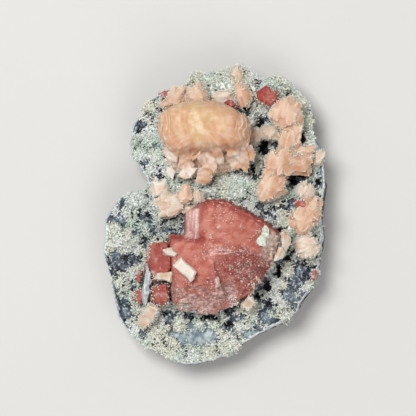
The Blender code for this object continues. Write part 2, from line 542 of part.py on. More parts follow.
def add_stilbites(specimen):
    peach = mineral("peach stilbite", (0.85, 0.52, 0.32), 0.4)
    pale = mineral("pale stilbite", (0.85, 0.68, 0.58), 0.4)
    specimen.add("stilbite_ball", peach, *ball_bodies())
    specimen.add(
        "stilbite_fan_upper_left", peach,
        sheaf((-15.0, 40.0, 17.0), (-0.25, 0.25, 1), (0.9, 0.35, 0), 7.0, 9.0, 48, 4, 21),
        sheaf((-8.5, 41.5, 17.5), (0.05, 0.20, 1), (1, 0.15, 0), 8.0, 9.5, 45, 4, 22))
    specimen.add("stilbite_fan_top", pale, sheaf(
        (1.2, 42.4, 17.0), (0, 0.25, 1), (1, -0.05, 0), 6.5, 10.5, 42, 3, 23, rough=1.2))
    specimen.add("stilbite_column_top", peach, sheaf(
        (10.6, 43.2, 17.0), (0.1, 0, 1), (-0.35, 1, 0), 6.0, 8.5, 42, 3, 25))
    specimen.add("stilbite_column_tip", pale, sheaf(
        (8.1, 50.4, 16.5), (0, 0, 1), (-0.15, 1, 0), 5.0, 6.0, 40, 3, 26))
    specimen.add(
        "stilbite_fan_right_upper", peach,
        sheaf((25.5, 37.0, 18.0), (-0.22, 0, 1), (0.06, 1, 0), 8.5, 10.0, 62, 6, 31, narrowing=0.25),
        sheaf((27.9, 26.8, 18.0), (0.05, 0, 1), (0.05, 1, 0), 7.0, 12.0, 45, 4, 32))
    specimen.add(
        "stilbite_fan_right_lower", peach,
        sheaf((21.6, 17.6, 17.0), (-0.15, -0.05, 1), (0.15, 1, 0), 8.0, 8.5, 50, 4, 33),
        sheaf((20.6, 10.6, 16.5), (0, -0.05, 1), (0.50, 0.85, 0), 6.5, 13.0, 36, 3, 34))
    specimen.add(
        "stilbite_blade_right", peach,
        blade((23.0, 17.2, 22.0), (1, 0.16, 0.22), (-0.15, 0.85, 0.50), 12.5, 6.5, 4.5, roof=0.5),
        blade((25.0, 15.5, 19.5), (1, 0.10, 0.16), (-0.05, 0.80, 0.50), 10.0, 5.0, 4.0))
    specimen.add("stilbite_small_right", peach, sheaf(
        (32.0, 24.0, 17.0), (0.2, 0, 1), (0.4, 1, 0), 6.0, 6.5, 42, 3, 35))
    specimen.add("stilbite_pale_edge", pale, sheaf(
        (36.0, 20.6, 16.0), (0.15, 0, 1), (0.2, 1, 0), 5.0, 6.0, 38, 3, 47))
    specimen.add(
        "stilbite_arch", pale,
        sheaf((18.6, 30.4, 10.5), (0.05, -0.10, 1), (1, 0.08, 0), 7.0, 9.5, 24, 3, 36),
        sheaf((13.9, 26.6, 11.0), (-0.05, 0, 1), (0.1, 1, 0), 7.5, 6.5, 22, 3, 37))
    specimen.add("stilbite_pale_right", pale, sheaf(
        (32.0, 10.2, 16.0), (0, 0, 1), (0.55, -0.80, 0), 5.5, 7.0, 46, 3, 38))
    specimen.add(
        "stilbite_knob_right_upper", peach,
        sheaf((34.2, 0.2, 16.5), (0.05, 0, 1), (0.50, 0.85, 0), 7.5, 11.0, 48, 4, 39, narrowing=0.2),
        sheaf((30.8, -2.6, 16.5), (-0.35, -0.20, 1), (0.70, -0.70, 0), 6.5, 6.5, 45, 3, 40))
    specimen.add(
        "stilbite_knob_right_lower", pale,
        sheaf((32.4, -12.0, 16.5), (0, 0, 1), (0.20, 1, 0), 6.0, 8.5, 75, 4, 41, narrowing=0.4),
        sheaf((33.0, -12.0, 16.5), (0.1, 0, 1), (1, -0.25, 0), 5.6, 8.0, 55, 3, 42, narrowing=0.3))
    specimen.add(
        "stilbite_knob_left", pale,
        sheaf((-16.4, 4.2, 16.5), (0, -0.10, 1), (0.80, -0.60, 0), 7.0, 10.0, 58, 4, 43, narrowing=0.2),
        sheaf((-19.2, 8.0, 15.5), (-0.25, 0.25, 1), (1, 0.25, 0), 5.5, 7.0, 46, 3, 44))
    specimen.add("stilbite_knob_left_inner", peach, sheaf(
        (-11.0, 7.1, 16.5), (0.1, 0.1, 1), (0.3, 1, 0), 6.8, 6.5, 45, 3, 45))
    specimen.add("stilbite_knob_middle", pale, sheaf(
        (-5.6, 7.6, 16.5), (0.1, 0, 1), (0.2, 1, 0), 5.8, 5.5, 42, 3, 46))
    specimen.add("stilbite_blade_white", pale, slab(
        [(-14.2, -18.6, 35.0), (-11.0, -15.5, 36.4), (-5.2, -20.9, 38.2), (-6.2, -23.4, 38.0),
         (-7.6, -24.5, 36.8)], 3.8))
    specimen.add("stilbite_oval", pale, slab(
        [(-18.3, -12.9, 31.5), (-14.6, -12.0, 33.5), (-11.9, -14.4, 35.0), (-13.2, -16.2, 34.4),
         (-16.9, -15.1, 32.5)], 4.5, bevel=0.65))
    specimen.add("stilbite_blade_left", pale, slab(
        [(-21.9, -23.3, 28.0), (-20.5, -21.0, 29.5), (-13.7, -20.3, 32.0), (-15.3, -24.4, 30.5)], 4.5))
    specimen.add("stilbite_blade_lower_left", peach, slab(
        [(-29.2, -38.9, 19.5), (-23.6, -31.6, 25.0), (-19.5, -33.6, 25.0), (-22.0, -38.5, 23.0),
         (-26.5, -42.0, 19.5)], 5.5))
    specimen.add(
        "stilbite_tip_right", pale,
        blade((17.5, -9.5, 24.5), (1, -0.05, 0.10), (0.1, 1, 0.35), 10.0, 8.0, 4.5),
        blade((18.5, -11.5, 25.0), (0.8, -0.45, 0.15), (0.4, 0.8, 0.30), 7.5, 6.0, 4.0))
    specimen.add("stilbite_blade_lower_right", peach, slab(
        [(7.6, -29.2, 23.5), (11.6, -27.7, 25.0), (15.0, -31.8, 23.0), (12.2, -35.4, 21.0),
         (8.6, -32.4, 22.5)], 7.0))


# ---------------------------------------------------------------- chalcedony and small grains
def chalcedony_rod():
    """A round bar of grey chalcedony that lies against the left-hand heulandites."""
    random = np.random.default_rng(51)
    points = []
    for x, y, z, radius in ((-22.9, -16.6, 23.5, 1.0), (-23.9, -22.0, 25.0, 1.7), (-24.3, -28.0, 24.5, 1.8),
                            (-25.3, -33.6, 21.5, 1.1)):
        for turn in np.linspace(0, 2 * math.pi, 8, endpoint=False):
            reach = radius * random.uniform(0.85, 1.1)
            points.append((x + reach * math.cos(turn), y, z + reach * math.sin(turn)))
    return hull(points)


def add_grains(specimen):
    grey = mineral("grey chalcedony", (0.45, 0.50, 0.55), 0.35)
    pale = mineral("pale green grains", (0.70, 0.74, 0.66), 0.5)
    specimen.add("chalcedony_rod", grey, chalcedony_rod())
    specimen.add("tuft_on_face", pale, lump((17.0, -10.6, 34.6), (2.5, 3.2, 1.9), 61, 26),
                 lump((18.6, -7.0, 33.8), (2.0, 3.2, 1.6), 62, 26))
    specimen.add("flake_on_face_upper", pale, lump((2.2, -5.4, 34.0), (1.3, 1.4, 0.9), 63, 14))
    specimen.add("flake_on_face_lower", pale, lump((-0.7, -8.6, 35.3), (0.9, 1.7, 0.9), 64, 14))
    specimen.add("flake_on_face_left", pale, lump((-10.5, -31.2, 30.2), (2.2, 1.5, 1.6), 65, 16))
    specimen.add("flake_on_face_bottom", pale, lump((1.6, -24.6, 35.6), (1.4, 2.6, 1.6), 66, 18))


# ---------------------------------------------------------------- the specimen
def clear_scene():
    for thing in list(bpy.data.objects):
        bpy.data.objects.remove(thing)


def centre_over_origin(objects):
    """Moves the whole specimen so that the middle of its outline is over the origin."""
    boxes = [box_of(thing.data) for thing in objects]
    low = np.min([box[0] for box in boxes], axis=0)
    high = np.max([box[1] for box in boxes], axis=0)
    shift = Matrix.Translation((-(low[0] + high[0]) / 2, -(low[1] + high[1]) / 2, -low[2]))
    for thing in objects:
        thing.data.transform(shift)


def main():
    clear_scene()
    rock = mineral("drusy chalcedony on basalt", (0.52, 0.55, 0.48), 0.8)
    specimen = Specimen(plate_mesh(), rock)
    add_heulandites(specimen)
    add_stilbites(specimen)
    add_grains(specimen)
    centre_over_origin(specimen.objects)


main()
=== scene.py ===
"""The looks of a heulandite specimen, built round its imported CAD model: a basalt plate under a pale drusy
crust, which carries one large brick-red heulandite, a peach stilbite ball and smaller crystals of both
minerals.

Arrays hold millimetres, and become metres when a mesh is made. +Z is up and out of the crust, X runs across
the plate and Y along it, and the sawn back lies at z = 0.
"""

import json

import bmesh
import bpy
import numpy as np
from mathutils import Matrix, Vector

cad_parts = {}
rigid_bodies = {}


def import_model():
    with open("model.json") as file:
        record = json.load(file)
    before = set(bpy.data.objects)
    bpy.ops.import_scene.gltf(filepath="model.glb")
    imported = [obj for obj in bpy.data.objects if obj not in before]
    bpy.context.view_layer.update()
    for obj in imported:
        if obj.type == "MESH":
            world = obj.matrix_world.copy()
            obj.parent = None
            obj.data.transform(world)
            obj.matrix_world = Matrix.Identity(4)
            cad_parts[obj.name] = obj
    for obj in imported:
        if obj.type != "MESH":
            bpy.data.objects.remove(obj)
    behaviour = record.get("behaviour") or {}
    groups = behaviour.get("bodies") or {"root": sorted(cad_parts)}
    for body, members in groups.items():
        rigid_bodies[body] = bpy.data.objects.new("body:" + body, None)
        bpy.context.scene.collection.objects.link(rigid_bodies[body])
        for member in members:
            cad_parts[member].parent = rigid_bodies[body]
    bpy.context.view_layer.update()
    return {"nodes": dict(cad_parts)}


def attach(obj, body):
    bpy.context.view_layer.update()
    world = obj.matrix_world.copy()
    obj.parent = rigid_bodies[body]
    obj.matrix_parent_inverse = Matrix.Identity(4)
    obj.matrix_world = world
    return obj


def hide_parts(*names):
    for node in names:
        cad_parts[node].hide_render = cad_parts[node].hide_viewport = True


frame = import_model()

# ---------------------------------------------------------------- table, lamps and camera
# The specimen lies on its sawn back on a matt, off-white table. A broad lamp hangs at its upper left, a
# weaker one opposite evens out the shadows, and the camera looks down on it from almost overhead.
MM = 0.001
TABLE_SIDE = 4000
TABLE_DROP = 0.1           # keeps the table's top from touching the sawn back
LAMPS = {                  # where each one hangs and its side, in metres, and its power in watts
    "key_lamp": ((-0.19, 0.22, 0.85), 0.34, 6.3),
    "fill_lamp": ((0.25, -0.50, 0.65), 0.50, 1.9),
}
SKY_STRENGTH = 0.33
FOCUS = Vector((0.2, 0.1, 18)) * MM
TOWARDS_CAMERA = Vector((0.0755, -0.0436, 0.9962))
CAMERA_DISTANCE = 0.7
FOCAL_LENGTH = 168.3
FRAME_SIDE = 416           # the frame's width and height in pixels
FRAME_SHIFT = (-8, 6.5)    # how far the frame is moved across and up, in pixels


def linear(code):
    """The linear colour of an sRGB hex code: a channel c becomes c / 12.92 if it is under 0.04045, and
    otherwise ((c + 0.055) / 1.055) to the power 2.4."""
    c = np.array([int(code[k:k + 2], 16) for k in (1, 3, 5)]) / 255
    return (*np.where(c < 0.04045, c / 12.92, ((c + 0.055) / 1.055) ** 2.4), 1)


def add_node(tree, kind, settings, inputs, output=0):
    """Adds a shader node, sets its properties, and fills or links its inputs. Gives back one of its
    outputs."""
    node = tree.nodes.new("ShaderNode" + kind)
    for name, value in settings.items():
        setattr(node, name, value)
    for name, value in inputs.items():
        if isinstance(value, bpy.types.NodeSocket):
            tree.links.new(value, node.inputs[name])
        else:
            node.inputs[name].default_value = value
    return node.outputs[output]


def finish(name, **settings):
    """A new material, with these values on its Principled shader. Gives back the material, its tree and
    shader."""
    made = bpy.data.materials.new(name)
    made.use_nodes = True
    shader = made.node_tree.nodes["Principled BSDF"]
    for socket, value in settings.items():
        shader.inputs[socket.replace("_", " ")].default_value = value
    return made, made.node_tree, shader


def linked(name, data):
    """A new object at the origin with this data, in the scene."""
    made = bpy.data.objects.new(name, data)
    bpy.context.scene.collection.objects.link(made)
    return made


def mesh_of(name, points, faces):
    """A mesh from an array of corners in millimetres and an array of faces that all have as many
    corners."""
    mesh = bpy.data.meshes.new(name)
    mesh.vertices.add(len(points))
    mesh.vertices.foreach_set("co", (np.asarray(points) * MM).astype(np.float32).ravel())
    if len(faces):
        mesh.loops.add(faces.size)
        mesh.loops.foreach_set("vertex_index", faces.astype(np.int32).ravel())
        mesh.polygons.add(len(faces))
        mesh.polygons.foreach_set("loop_start", np.arange(0, faces.size, faces.shape[1], dtype=np.int32))
    mesh.update(calc_edges=True)
    return mesh


# Matt paper: no gloss, and faintly mottled by its fibres.
paper, tree, shader = finish("matt_paper", Roughness=0.9)
fibres = add_node(tree, "TexNoise", {}, {"Scale": 60, "Detail": 3})
off_whites = {6: linear("#D1D0CD"), 7: linear("#D6D5D2")}
mottled = add_node(tree, "Mix", {"data_type": "RGBA"}, {0: fibres, **off_whites}, 2)
tree.links.new(mottled, shader.inputs["Base Color"])
half = TABLE_SIDE / 2
table_corners = np.array([(-half, -half, 0), (half, -half, 0), (half, half, 0), (-half, half, 0)])
table = linked("table", mesh_of("table", table_corners - (0, 0, TABLE_DROP), np.array([[0, 1, 2, 3]])))
table.data.materials.append(paper)

for name, (place, side, watts) in LAMPS.items():
    light = bpy.data.lights.new(name, "AREA")
    light.size = side
    light.energy = watts
    turned = Vector(place).to_track_quat("Z", "Y").to_matrix().to_4x4()
    linked(name, light).matrix_world = Matrix.Translation(place) @ turned
world = bpy.data.worlds.new("studio")
world.use_nodes = True
world.node_tree.nodes["Background"].inputs["Color"].default_value = (1, 1, 1, 1)
world.node_tree.nodes["Background"].inputs["Strength"].default_value = SKY_STRENGTH
bpy.context.scene.world = world
bpy.context.scene.view_settings.view_transform = "Standard"

lens = bpy.data.cameras.new("camera")
lens.lens = FOCAL_LENGTH
lens.shift_x, lens.shift_y = FRAME_SHIFT[0] / FRAME_SIDE, FRAME_SHIFT[1] / FRAME_SIDE
camera = linked("camera", lens)
right = Vector((TOWARDS_CAMERA.z, 0, -TOWARDS_CAMERA.x)).normalized()
axes = Matrix((right, TOWARDS_CAMERA.cross(right), TOWARDS_CAMERA)).transposed()
camera.matrix_world = Matrix.Translation(FOCUS + TOWARDS_CAMERA * CAMERA_DISTANCE) @ axes.to_4x4()
bpy.context.scene.camera = camera

# ---------------------------------------------------------------- the plate
# A slab of dark basalt, sawn flat behind and broken round its sides. A band of blue-grey chalcedony lies on
# it, under a popcorn crust of pale drusy zeolite with windows down to the chalcedony and a few vugs,
# painted near-black: partly their dark chalcedony, partly painted shade in the holes.
# It is the CAD plate cut finer and given its relief.
RIM_STEP = 4               # how many rings of corners lie between the sawn back and the crust's edge
FINER = 7                  # cuts along each edge of the CAD plate's facets
EVENING = 40               # rounds that even out the facets' creases
SUNK = 0.7                 # how far the crust's floor lies below the tips of its crystals
GAP_DEPTH = 2.5            # how much lower the chalcedony lies in the gaps between the crust's clumps

# Windows in the crust: x, y, their half-lengths along X and Y, and how bare they are.
WINDOWS = [
    (-33, -17, 4.4, 4.2, 1), (-33.6, -35.5, 3.6, 6, 1), (-33.4, -1.6, 1.6, 1.6, 1),
    (-24.8, -0.4, 1.8, 2.2, 1), (-16.8, -5.2, 2.2, 1.6, 0.9), (-35, 3.4, 2.2, 1.6, 0.8),
    (-8, -43.6, 9, 4.4, 0.8), (3.4, -40.4, 2.8, 2, 1), (13, -43.2, 4.4, 2, 0.9), (18.4, -36, 3, 3, 0.85),
    (32.3, -20.9, 3, 3.8, 1), (26.5, -29.5, 2.4, 2.6, 0.6), (-27, -42, 2.4, 2.6, 0.8),
    (-17, -38.5, 2.2, 1.8, 0.9), (-22, 25, 2, 1.8, 0.8), (-24.5, 33.5, 2, 1.6, 0.7),
    (-26.5, 18.5, 2.4, 2, 0.7), (-19.5, 12.8, 2.6, 1.4, 0.8), (38, 14, 1.6, 3, 0.7),
    (34, 37.5, 1.6, 2.4, 0.8), (14.5, 48.6, 1.8, 1.4, 0.8), (-29.5, -25.5, 1.8, 2.2, 0.8),
    (4, 44.6, 1.6, 1.2, 0.5), (-12, 45.5, 1.6, 1.2, 0.6), (14.5, 13.5, 2, 2.4, 0.8),
    (27.5, 10.5, 2, 1.6, 0.9),
]
# Vugs and crevices: x, y, their half-lengths along X and Y, and how dark they are, partly painted shade.
VUGS = [
    (17.3, 25.2, 2.6, 3, 1), (16, 32.5, 1.8, 2.4, 1), (13.3, 17, 1.2, 2.6, 1), (16.6, 13.6, 1.2, 1.6, 0.9),
    (27.7, 11.6, 1.8, 1.5, 0.9), (36.7, 11.7, 1.2, 1.8, 1), (10.6, 38.9, 1.2, 1.4, 0.9),
    (25.2, -15.7, 1.8, 1.3, 1), (22.4, -20.4, 1.3, 2.8, 1), (27.8, -13.2, 1.6, 0.9, 0.9),
    (18.8, -26.2, 1.4, 1.9, 1), (26.4, -10.6, 0.9, 2.2, 1), (15, -29.5, 1.8, 1.2, 0.9),
    (23.6, -5.4, 2.4, 1, 0.9), (33, -7.4, 4.2, 0.8, 0.9), (-33.6, -1.6, 0.8, 0.8, 0.9),
    (-25, 0.4, 0.9, 1.2, 0.9), (-16.6, -5, 1, 0.8, 0.9), (-19.7, 38, 0.9, 0.9, 1),
    (-18.8, 13.6, 0.8, 0.9, 1), (-12.4, 13.2, 1.2, 0.8, 0.9), (30.5, 14.6, 3.6, 0.8, 0.9),
    (-3, -37.2, 8, 0.7, 0.8), (4.4, -39, 1.6, 1.4, 0.9), (-31, -27, 1.4, 0.8, 0.8),
    (-28, -15, 1.6, 2.4, 0.5), (20, -32.5, 1.6, 1.2, 0.7),
]

# Where the chalcedony is milky: x, y, half-lengths along X and Y, and how much.
MILKY = [
    (-8, -45, 12, 7, 1), (12, -43, 8, 4, 0.8), (34.5, 36, 3.5, 6, 1), (23, 48, 6, 3, 0.8),
    (38.5, 14, 2.5, 6, 0.9), (-22, 25, 5, 6, 0.5), (-12, 47, 8, 4, 0.8), (30, -30, 6, 5, 0.5),
]


def merged_copy(node):
    """A copy of a CAD node's mesh whose loose triangles share their corners."""
    bm = bmesh.new()
    bm.from_mesh(frame["nodes"][node].data)
    bmesh.ops.remove_doubles(bm, verts=bm.verts, dist=0.001 * MM)
    mesh = bpy.data.meshes.new(node)
    bm.to_mesh(mesh)
    bm.free()
    if "custom_normal" in mesh.attributes:
        mesh.attributes.remove(mesh.attributes["custom_normal"])
    return mesh


def corners(mesh, field="co"):
    """The mesh's corners in millimetres, or with "normal" their directions, as an array."""
    values = np.empty(len(mesh.vertices) * 3, np.float32)
    mesh.vertices.foreach_get(field, values)
    return values.reshape(-1, 3).astype(float) / (MM if field == "co" else 1)


def corner_pairs(mesh):
    """The two corners of each edge."""
    pairs = np.empty(len(mesh.edges) * 2, np.int32)
    mesh.edges.foreach_get("vertices", pairs)
    return pairs.reshape(-1, 2)


def set_corners(mesh, points):
    """Moves the mesh's corners to these places in millimetres."""
    mesh.vertices.foreach_set("co", (points * MM).astype(np.float32).ravel())
    mesh.update()


def set_values(mesh, **values):
    """Keeps arrays of one number for each corner, for the material to read."""
    for name, numbers in values.items():
        mesh.attributes.new(name, "FLOAT", "POINT").data.foreach_set("value", numbers.astype(np.float32))


def values_of(mesh, name):
    """The numbers kept under this name, one for each corner."""
    values = np.empty(len(mesh.vertices), np.float32)
    mesh.attributes[name].data.foreach_get("value", values)
    return values.astype(float)


def step(values, low, high):
    """0 below low, 1 above high, and 3t^2 - 2t^3 between them."""
    t = np.clip((values - low) / (high - low), 0, 1)
    return t * t * (3 - 2 * t)


def noise(points, cell, seed):
    """Smooth noise from -1 to 1: random values on a cubic lattice with this spacing, blended between the
    eight round each point by 3t^2 - 2t^3 along each axis."""
    table = np.random.default_rng(seed).uniform(-1, 1, (32, 32, 32))
    low = np.floor(points / cell).astype(int)
    t = points / cell - low
    t = t * t * (3 - 2 * t)
    total = np.zeros(len(points))
    for corner in np.ndindex(2, 2, 2):
        i, j, k = ((low + corner) % 32).T
        total += np.where(corner, t, 1 - t).prod(axis=1) * table[i, j, k]
    return total


def evened(values, pairs, times):
    """The values after each has been moved half-way to the mean of its neighbours, so many times over."""
    count = np.bincount(pairs.ravel(), minlength=len(values))
    for _ in range(times):
        around = np.bincount(pairs[:, 0], values[pairs[:, 1]], len(values))
        around += np.bincount(pairs[:, 1], values[pairs[:, 0]], len(values))
        values = (values + around / np.maximum(count, 1)) / 2
    return values


def spots(points, places):
    """The strongest of the listed places at each point: strength * exp(-(dx / rx)^2 - (dy / ry)^2)."""
    x, y, total = points[:, 0], points[:, 1], np.zeros(len(points))
    for cx, cy, rx, ry, strength in places:
        total = np.maximum(total, strength * np.exp(-((x - cx) / rx) ** 2 - ((y - cy) / ry) ** 2))
    return total


def bareness(points):
    """How bare of crust the chalcedony is, from 0 to 1: the listed windows and a few stray ones, with
    ragged edges."""
    flat = points * (1, 1, 0)
    ragged = 0.26 * noise(flat, 3.2, 11) + 0.26 * noise(flat, 1.3, 12)
    stray = 0.42 * step(noise(flat, 6, 13), 0.3, 0.9)
    return step(np.maximum(spots(points, WINDOWS), stray) + ragged, 0.30, 0.62)


# Where the crust has few gaps (+) and many (-): x, y, half-lengths along X and Y, and how much.
THICK = [
    (6, 47, 16, 7, 0.5), (31, 36, 6, 12, 0.45), (24, 46, 8, 6, 0.5), (-18, 38, 6, 5, 0.3),
    (30, 0, 8, 8, 0.3), (-22, -48, 10, 6, 0.4), (2, 9, 12, 4, 0.65), (-37, -4, 4, 7, 0.20),
]
THIN = [(30, -24, 9, 9, 0.22), (26, 8, 10, 5, 0.15), (10, -40, 16, 5, 0.10), (-24, 8, 5, 5, 0.10)]


def growth(points):
    """How thickly the crust has grown: above 0 on its clumps and below 0 in the gaps between them. The
    noise is read at places that are themselves shifted by noise, which makes the clumps ragged."""
    flat = points * (1, 1, 0)
    shift = np.column_stack([noise(flat, 2.4, 20), noise(flat, 2.4, 21), np.zeros(len(flat))])
    shifted = flat + shift * 1.3
    clumps = 0.3 * noise(shifted, 5.2, 22) + 0.58 * noise(shifted, 2.6, 23) + 0.46 * noise(shifted, 1.2, 24)
    return clumps + 0.13 + spots(points, THICK) - spots(points, THIN) - 1.1 * bareness(points)


coarse = merged_copy("matrix")
pairs, rings = corner_pairs(coarse), np.full(len(coarse.vertices), RIM_STEP + 1)
rings[corners(coarse)[:, 2] < 0.01] = 0
for ring in range(1, RIM_STEP + 1):
    near = pairs[(rings[pairs] == ring - 1).any(axis=1)]
    rings[near] = np.minimum(rings[near], ring)
set_values(coarse, ring=rings)
bm = bmesh.new()
bm.from_mesh(coarse)
bmesh.ops.subdivide_edges(bm, edges=[e for e in bm.edges if any(f.normal.z > -0.99 for f in e.link_faces)],
                          cuts=FINER, use_grid_fill=True)
bmesh.ops.triangulate(bm, faces=bm.faces)
plate = bpy.data.meshes.new("plate")
bm.to_mesh(plate)
bm.free()

ring, points, pairs = values_of(plate, "ring"), corners(plate), corner_pairs(plate)
crusted = ring > RIM_STEP
height = points[:, 2].copy()
inner_pairs = pairs[crusted[pairs].all(axis=1)]
level = np.where(crusted, evened(height, inner_pairs, EVENING), height)
inland = step(ring, RIM_STEP + 0.05, RIM_STEP + 0.7)
flat = points * (1, 1, 0)
bare = bareness(points) * crusted
ragged = 0.50 * noise(flat, 1.5, 14) + 0.35 * noise(flat, 0.7, 10)
vug = step(spots(points, VUGS) + ragged, 0.35, 0.7) * crusted
thickness = growth(points)
grown = step(thickness, -0.10, 0.14) * (1 - vug)
swell = step(thickness, 0, 0.7) - 0.5
rough = 0.22 * noise(points, 0.9, 15) + 0.30 * noise(points, 2, 16)
gap = (1 - grown) * GAP_DEPTH * (1 - 0.5 * bare) + 1.5 * vug
crust_height = level + inland * ((rough + swell) * (0.4 + 0.6 * grown) - SUNK - gap)
facing = corners(plate, "normal")
side = (1 - step(ring, RIM_STEP - 0.1, RIM_STEP + 0.05)) * step(ring, 0, 0.15)
break_depth = 0.35 * (1 + noise(points, 2.6, 17)) + 0.22 * (1 + noise(points, 1, 18))
break_depth += 0.45 * (1 - step(ring, 3.2, 3.4)) * (0.7 + 0.3 * noise(points, 6, 19))
moved = points - facing * (side * break_depth)[:, None] * (1, 1, 0.3)
moved[:, 2] = np.where(crusted, crust_height, moved[:, 2])
set_corners(plate, moved)
set_values(plate, bare=bare, vug=vug, grown=grown, milky=spots(points, MILKY))
plate.shade_smooth()


def shade(value):
    """A colour for a node's input: a hex code turned to linear, or the output of another node as it is."""
    return linear(value) if isinstance(value, str) else value


def patched(tree, millimetres, edges, under, over, detail=3):
    """One colour with ragged patches of another over it: noise whose lumps are this big is cut off between
    the two edges, and what is above them takes the second colour."""
    place = add_node(tree, "TexCoord", {}, {}, "Object")
    lumps = add_node(tree, "TexNoise", {},
                     {"Vector": place, "Scale": 1 / (millimetres * MM), "Detail": detail})
    share = add_node(tree, "MapRange", {}, {0: lumps, 1: edges[0], 2: edges[1]})
    return add_node(tree, "Mix", {"data_type": "RGBA"}, {0: share, 6: shade(under), 7: shade(over)}, 2)


def masked(tree, name, edges, under, over):
    """One colour that turns to another where the mesh's own numbers of this name rise from one edge to the
    next."""
    kept = add_node(tree, "Attribute", {"attribute_name": name}, {}, "Fac")
    share = add_node(tree, "MapRange", {}, {0: kept, 1: edges[0], 2: edges[1]})
    return add_node(tree, "Mix", {"data_type": "RGBA"}, {0: share, 6: shade(under), 7: shade(over)}, 2)


def roughened(tree, shader, millimetres, depth):
    """Bumps on the shader, of this size and depth in millimetres."""
    place = add_node(tree, "TexCoord", {}, {}, "Object")
    lumps = add_node(tree, "TexNoise", {},
                     {"Vector": place, "Scale": 1 / (millimetres * MM), "Detail": 4, "Roughness": 0.62})
    tree.links.new(add_node(tree, "Bump", {}, {"Strength": 0.5, "Distance": depth * MM, "Height": lumps}),
                   shader.inputs["Normal"])


def placed(name, mesh, material, slot, *nodes):
    """A finished piece at the origin. It moves with the specimen's one body, stands for these CAD nodes,
    and wears the given material. The slot is not used."""
    piece = linked(name, mesh)
    mesh.materials.clear()
    mesh.materials.append(material)
    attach(piece, "root")
    if nodes:
        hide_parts(*nodes)
    return piece


# Basalt under chalcedony and drusy zeolite: the crust scatters light and looks like coarse sugar, the
# chalcedony is smooth and waxy, and the basalt is dull, fine-grained and nearly black.
rock, tree, shader = finish("drusy_chalcedony_on_basalt", Roughness=0.55, IOR=1.54)
chalcedony = patched(tree, 4, (0.42, 0.60), "#1C212B", "#55616F")
chalcedony = patched(tree, 0.9, (0.52, 0.66), chalcedony, "#A9B4BC")
milky = patched(tree, 2.2, (0.40, 0.60), "#66757F", "#A3B0B5")
chalcedony = masked(tree, "milky", (0.2, 0.7), chalcedony, milky)
zeolite = patched(tree, 0.9, (0.40, 0.60), "#8E968C", "#EEF2E9")
crust = masked(tree, "grown", (0.25, 0.65), chalcedony, zeolite)
# Vugs turn near-black: partly dark chalcedony, partly painted shade in the holes.
crust = masked(tree, "vug", (0.1, 0.8), crust, "#0B0D12")
basalt = patched(tree, 0.7, (0.45, 0.62), "#1F1C19", "#3B3631")
basalt = patched(tree, 1.6, (0.66, 0.72), basalt, "#8C8A7E")
band = patched(tree, 0.8, (0.40, 0.62), "#A9B4BE", "#E6EAEA")
side_colour = masked(tree, "ring", (3.25, 3.40), basalt, band)
tree.links.new(masked(tree, "ring", (4.10, 4.26), side_colour, crust), shader.inputs["Base Color"])
tree.links.new(masked(tree, "bare", (0.3, 0.9), "#CCCCCC", "#A0A0A0"), shader.inputs["Roughness"])
roughened(tree, shader, 0.5, 0.25)
plate_piece = placed("basalt_plate", plate, rock, "rock", "matrix")

# ---------------------------------------------------------------- the drusy crust
# Small pale zeolite crystals, 0.3 to 1.7 mm long, that sit on the plate in tufts. Each is a blunt tablet or
# a double point, and stands out from the middle of its tuft. Finer ones are strewn between the tufts.
TABLET = (np.array([(-0.7, -0.3, 0), (0.7, -0.3, 0), (0.7, 0.3, 0), (-0.7, 0.3, 0),
                    (-0.6, -0.3, 1), (1, -0.3, 0.85), (1, 0.3, 0.85), (-0.6, 0.3, 1)]),
          np.array([(0, 2, 1), (0, 3, 2), (4, 5, 6), (4, 6, 7), (0, 1, 5), (0, 5, 4), (1, 2, 6), (1, 6, 5),
                    (2, 3, 7), (2, 7, 6), (3, 0, 4), (3, 4, 7)]))
DOUBLE_POINT = (np.array([(1, 0, 0.4), (0, 1, 0.4), (-1, 0, 0.4), (0, -1, 0.4), (0, 0, 1), (0, 0, -0.2)]),
                np.array([(0, 1, 4), (1, 2, 4), (2, 3, 4), (3, 0, 4),
                          (1, 0, 5), (2, 1, 5), (3, 2, 5), (0, 3, 5)]))
DROP_HEIGHT = 60
RIM_MARGIN = 1.7           # no crystal stands nearer than this to the plate's farthest edges
TABLETS_TRIED, POINTS_TRIED = 58000, 32000


def applied(made):
    """The object's mesh after its modifiers. The object itself is taken out of the scene."""
    bpy.context.view_layer.update()
    mesh = bpy.data.meshes.new_from_object(made.evaluated_get(bpy.context.evaluated_depsgraph_get()))
    bpy.data.objects.remove(made)
    return mesh


def fallen(points, target):
    """The points let fall straight down onto a mesh, and whether each one met it."""
    above = np.column_stack([points[:, :2], np.full(len(points), DROP_HEIGHT)])
    probe = linked("falling", mesh_of("falling", above, []))
    wrap = probe.modifiers.new("fall", "SHRINKWRAP")
    wrap.target = target
    wrap.wrap_method = "PROJECT"
    wrap.use_project_z = True
    wrap.use_positive_direction = False
    wrap.use_negative_direction = True
    landed = corners(applied(probe))
    return landed, landed[:, 2] < DROP_HEIGHT - 1


